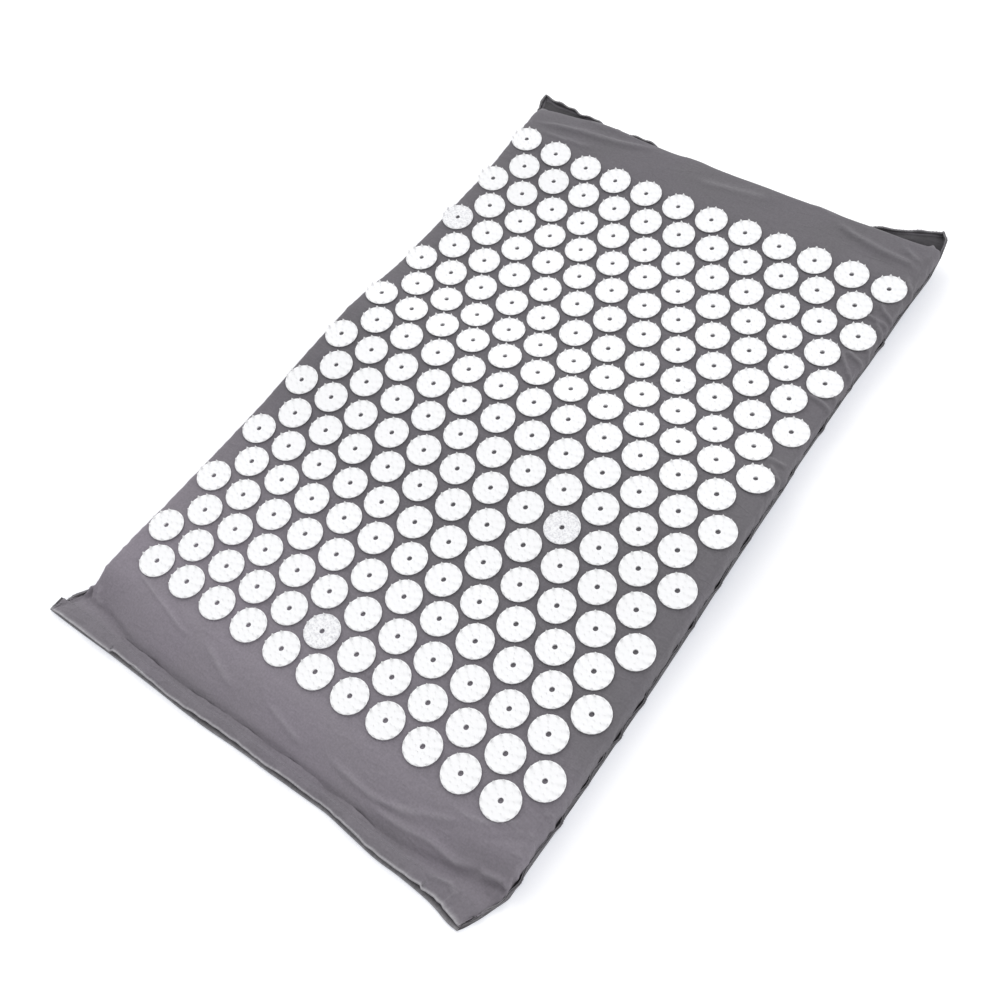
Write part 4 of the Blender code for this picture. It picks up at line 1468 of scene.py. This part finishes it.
@dataclass
class Mouth:
    """The hook-and-loop tapes between the lips, and the stitches that hold them and the hems."""

    shape: MatShape
    sleeve: Sleeve
    thread: ThreadFinish
    stitch: float = 0.0024
    stitch_every: float = 0.0032
    thread_radius: float = 0.00018
    hem_seam: float = 0.0108
    tape_seam: float = 0.0018
    side_gap: float = 0.006
    notch_gap: float = 0.002
    bar_tack: float = 0.0009
    bar_places: Place = (0.0022, 0.0015, 0.0051)
    bar_threads: int = 7
    sharp: float = 0.12
    bevel: float = 0.0003
    ring_points: int = 64
    tape_clear: float = 0.0001
    tape_insets: Pair = (0.0012, 0.006)
    tape_seam_end: float = 0.001
    proud_share: float = 0.6
    dip: float = 0.0002

    def make_tape(self, at: str, kind: TapeKind) -> Piece:
        """A woven tape: rings of a rectangle with rounded corners, from its foot to its top.

        Args:
            at: left or right.
            kind: of the tape. Hooks lie on the lower lip, loops under the flap.

        Returns:
            The tape, in the CAD node's box and pulled along with the cloth. A hook tape's foot is
            raised, because it lies on the turned-up hem.
        """
        node = f"{kind.value}_patch_{at}"
        low, high = (np.array(corner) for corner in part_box(node))
        foot, top = low[2], high[2]
        if kind is TapeKind.HOOK:
            foot += 2 * CLOTH - LAYER + self.tape_clear
        angle = np.linspace(0, math.tau, self.ring_points, endpoint=False)
        round_square = np.stack([np.cos(angle), np.sin(angle)], axis=-1)
        round_square = np.sign(round_square) * np.abs(round_square) ** self.sharp
        rings = []
        insets = (self.bevel, *self.tape_insets)
        for inset, z in ((0, foot), (0, top - self.bevel), *((inset, top) for inset in insets)):
            reach = np.maximum((high - low)[:2] / 2 - inset, 0.0001)
            plan = (low + high)[:2] / 2 + reach * round_square
            rings.append(np.column_stack([plan, np.full(len(plan), z)]))
        points = np.array(rings)
        moved_x, moved_y, _ = self.shape.pull(*self.shape.planned(points), 1.0)
        points = self.shape.placed(moved_x, moved_y, points[..., 2])
        tape = new_piece(f"{kind.value}_tape_{at}", points, tube_faces(len(rings), self.ring_points),
                         TapeFinish(f"{kind.value}_tape", kind))
        return settle(tape, Body.MAT if kind is TapeKind.HOOK else Body.FLAP, Slot.TAPE, node)

    def make_tapes(self) -> list[Piece]:
        """Both pairs."""
        return [self.make_tape(at, kind) for at in ("left", "right") for kind in TapeKind]

    def stitched(self, x: Grid, y: Grid) -> Grid:
        """Points on the lip's outer face, which dip into it at both ends of each row of x.

        Args:
            x: for each stitch its places across the mat, in a row.
            y: the same along the mat.

        Returns:
            Points along each stitch.
        """
        columns, along = np.unique(np.append(x, 0.0)), np.unique(y)
        surface = self.sleeve.cloth_grid(Lines.plain(columns), Lines.plain(along[::-1], ramp=0.0))[0]
        points = surface[len(along) - 1 - np.searchsorted(along, y), np.searchsorted(columns, x)]
        points[:, 1:-1, 2] += self.thread_radius * self.proud_share
        points[:, [0, -1], 2] -= self.dip
        return points

    def seam_row(self, start: float, end: float, y: float) -> Grid:
        """Straight stitches along a lip, one after the other.

        Args:
            start: where the row begins, across the mat.
            end: where it ends.
            y: its place along the mat.

        Returns:
            Points along each stitch.
        """
        begin = np.arange(start, end - self.stitch, self.stitch_every)[:, None]
        x = begin + np.linspace(0, self.stitch, 4)
        return self.stitched(x, np.full(x.shape, y))

    def make_stitches(self, name: str, rows: list[Grid], body: Body) -> Piece:
        """Rows of stitches as one piece."""
        return make_threads(name, np.concatenate(rows), self.thread_radius, self.thread, body)

    def make_seams(self) -> list[Piece]:
        """The hem's seam on the flap and on both sewn lips, and the long sides of the tapes' seams."""
        shape = self.shape
        notch, end = shape.mouth_half, shape.half_width - self.side_gap
        inner, outer = notch - self.notch_gap, notch + self.notch_gap
        hem = shape.flap_hem + self.hem_seam
        rows = [self.seam_row(-inner, inner, hem)]
        for at in ("left", "right"):
            low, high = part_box(f"loop_patch_{at}")
            start, stop = low[0] + self.tape_seam_end, high[0] - self.tape_seam_end
            rows.append(self.seam_row(start - shape.origin[0], stop - shape.origin[0],
                                      shape.flap_hem + self.tape_seam))
        lips = [self.seam_row(-end, -outer, hem), self.seam_row(outer, end, hem)]
        return [self.make_stitches("flap_hem_stitches", rows, Body.FLAP),
                self.make_stitches("lip_hem_stitches", lips, Body.MAT)]

    def make_bar_tacks(self) -> Piece:
        """A short bar of close stitches at each notch, where the seam of the sides ends."""
        past_notch, low, high = self.bar_places
        across = np.linspace(-self.bar_tack, self.bar_tack, 4)[None, :]
        bars = []
        for way in (-1, 1):
            x = way * (self.shape.mouth_half + past_notch) + across
            for y in self.shape.flap_hem + np.linspace(low, high, self.bar_threads):
                bars.append(self.stitched(x, np.full(x.shape, y)))
        return self.make_stitches("notch_bar_tacks", bars, Body.MAT)


@dataclass
class FoamPad:
    """The foam slab in the sleeve."""

    shape: MatShape
    foam: FoamFinish
    slack: float = 0.002
    slack_up: float = 0.0006
    step: float = 0.006
    edge_lines: int = 6

    def lines(self, half: float, flat: float) -> tuple[Grid, Grid]:
        """Grid lines along one direction: round up, flat, round down.

        Args:
            half: half the pad's size.
            flat: half the size of its flat top.

        Returns:
            Places and shares of the height.
        """
        inward, rise = self.shape.edge_curve(self.edge_lines, self.shape.foam_edge, 1.0)
        middle = spaced(-flat, flat, self.step)
        return (joined(-half + inward, middle, (half - inward)[::-1]),
                joined(rise, 0 * middle + 1, rise[::-1]))

    def make(self) -> Piece:
        """Rounded top and sides, and a flat underside that meets them at the foot."""
        shape = self.shape
        x, across = self.lines(shape.foam_width / 2 - self.slack, shape.flat_half - self.slack)
        y, along = self.lines(shape.foam_length / 2, shape.flat_far)
        x, y, share = x[None, :], y[::-1, None], across[None, :] * along[::-1, None]
        low = LAYER + shape.bend(x, y) + 0 * share
        thick = share * (shape.foam_thickness - self.slack_up - shape.dish(x))
        top = shape.placed(x - shape.waist(x, y, share), y, low + thick)
        under = shape.placed(x - shape.waist(x, y, 0 * share), y, low)
        index = np.arange(share.size).reshape(share.shape)
        lower = index + share.size
        lower[[0, -1]] = index[[0, -1]]
        lower[:, [0, -1]] = index[:, [0, -1]]
        faces = grid_faces(*share.shape)
        groups = [faces, lower.ravel()[faces][:, ::-1]]
        foam = new_piece("foam_core", np.stack([top, under]), groups, self.foam)
        settle(foam, Body.MAT, Slot.FOAM, "foam_pad")
        return foam


@dataclass(frozen=True)
class Lamp:
    """A square lamp that looks at the middle of the floor."""

    name: str
    power: float
    size: float
    place: Place

    def make(self) -> None:
        """Put it in the scene."""
        lamp = bpy.data.lights.new(self.name, "AREA")
        lamp.energy = self.power
        lamp.size = self.size
        obj = linked(self.name, lamp)
        obj.location = self.place
        obj.rotation_euler = (-Vector(self.place)).to_track_quat("-Z", "Y").to_euler()


@dataclass
class Studio:
    """The floor, the lights and the camera: an even sky, a large soft lamp and a weaker one."""

    place: Place = (0.37903, -0.38958, 0.73740)
    turn_degrees: Place = (32.232, 7.040, 36.369)
    lens: float = 39.21
    sensor: float = 36.0
    sky: float = 0.63
    sky_colour: Colour = (0.985, 0.99, 1.0, 1.0)
    lamps: tuple[Lamp, ...] = (Lamp("key", 187.0, 5.0, (-3.6, 2.3, 2.8)),
                               Lamp("fill", 25.0, 1.6, (2.4, 0.5, 1.1)))
    floor_half: float = 6.0
    floor_own: Colour = (0.84, 0.815, 0.75, 1.0)
    floor_bounce: Colour = (0.86, 0.86, 0.87, 1.0)
    floor_glow: Colour = (0.31, 0.335, 0.41, 1.0)

    def make_floor(self) -> None:
        """A matt floor that takes the shadow, with a glow that only the camera sees."""
        half = self.floor_half
        mesh = bpy.data.meshes.new("floor")
        mesh.from_pydata([(-half, -half, 0), (half, -half, 0), (half, half, 0), (-half, half, 0)], [],
                         [(0, 1, 2, 3)])
        board = Board(bpy.data.materials.new("pale_floor"))
        seen = board.seen()
        glow = board.new("Emission", {"Color": self.floor_glow, "Strength": seen})
        board.finish(Base_Color=board.mix(seen, self.floor_bounce, self.floor_own), Roughness=1.0,
                     Specular_IOR_Level=0.0)
        shader = board.nodes["Principled BSDF"]
        both = board.new("AddShader", {0: shader.outputs[0], 1: glow.outputs[0]})
        board.put(board.nodes["Material Output"], "Surface", both.outputs[0])
        mesh.materials.append(board.owner)
        linked("floor", mesh)

    def make_lights(self) -> None:
        """The sky, which the camera sees pale, and the lamps."""
        world = bpy.data.worlds.new("sky")
        bpy.context.scene.world = world
        board = Board(world)
        sky = board.nodes["Background"]
        board.put(sky, "Color", self.sky_colour)
        board.put(sky, "Strength", board.between(board.seen(), 0.0, 1.0, self.sky, 1.0))
        for lamp in self.lamps:
            lamp.make()

    def make_camera(self) -> None:
        """The photograph's viewpoint."""
        camera = bpy.data.cameras.new("camera")
        camera.lens = self.lens
        camera.sensor_width = self.sensor
        obj = linked("camera", camera)
        obj.location = self.place
        obj.rotation_euler = [math.radians(turn) for turn in self.turn_degrees]
        bpy.context.scene.camera = obj
        bpy.context.scene.view_settings.view_transform = "Standard"


def main() -> None:
    logging.basicConfig(level=logging.INFO, format="%(name)s: %(message)s")
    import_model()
    low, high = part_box("foam_pad")
    shape = MatShape(origin=((low[0] + high[0]) / 2, (low[1] + high[1]) / 2))
    studio = Studio()
    studio.make_camera()
    studio.make_floor()
    studio.make_lights()
    thread = ThreadFinish()
    # painted shade: a darker copy of the cotton, all its tones darker, for the bottom panel and the welt,
    # which lie in shade
    back = CottonFinish("grey_cotton_back", (0.074, 0.070, 0.076, 1.0), (0.112, 0.104, 0.115, 1.0),
                        (0.086, 0.080, 0.088, 1.0))
    rosette_maker = Rosettes(shape, PlasticFinish())
    sleeve = Sleeve(shape, CottonFinish(), back, rosette_maker)
    cover, flap, bottom = sleeve.make_cover(), sleeve.make_flap(), sleeve.make_bottom()
    # painted shade: the welt takes the darker copy of the cotton too
    seam = SideSeam(shape, back, thread)
    welt, overlock = seam.make_welt(), seam.make_stitches()
    mouth = Mouth(shape, sleeve, thread)
    tapes, seams, bars = mouth.make_tapes(), mouth.make_seams(), mouth.make_bar_tacks()
    foam = FoamPad(shape, FoamFinish()).make()
    rosettes = rosette_maker.make()


if __name__ == "__main__":
    main()
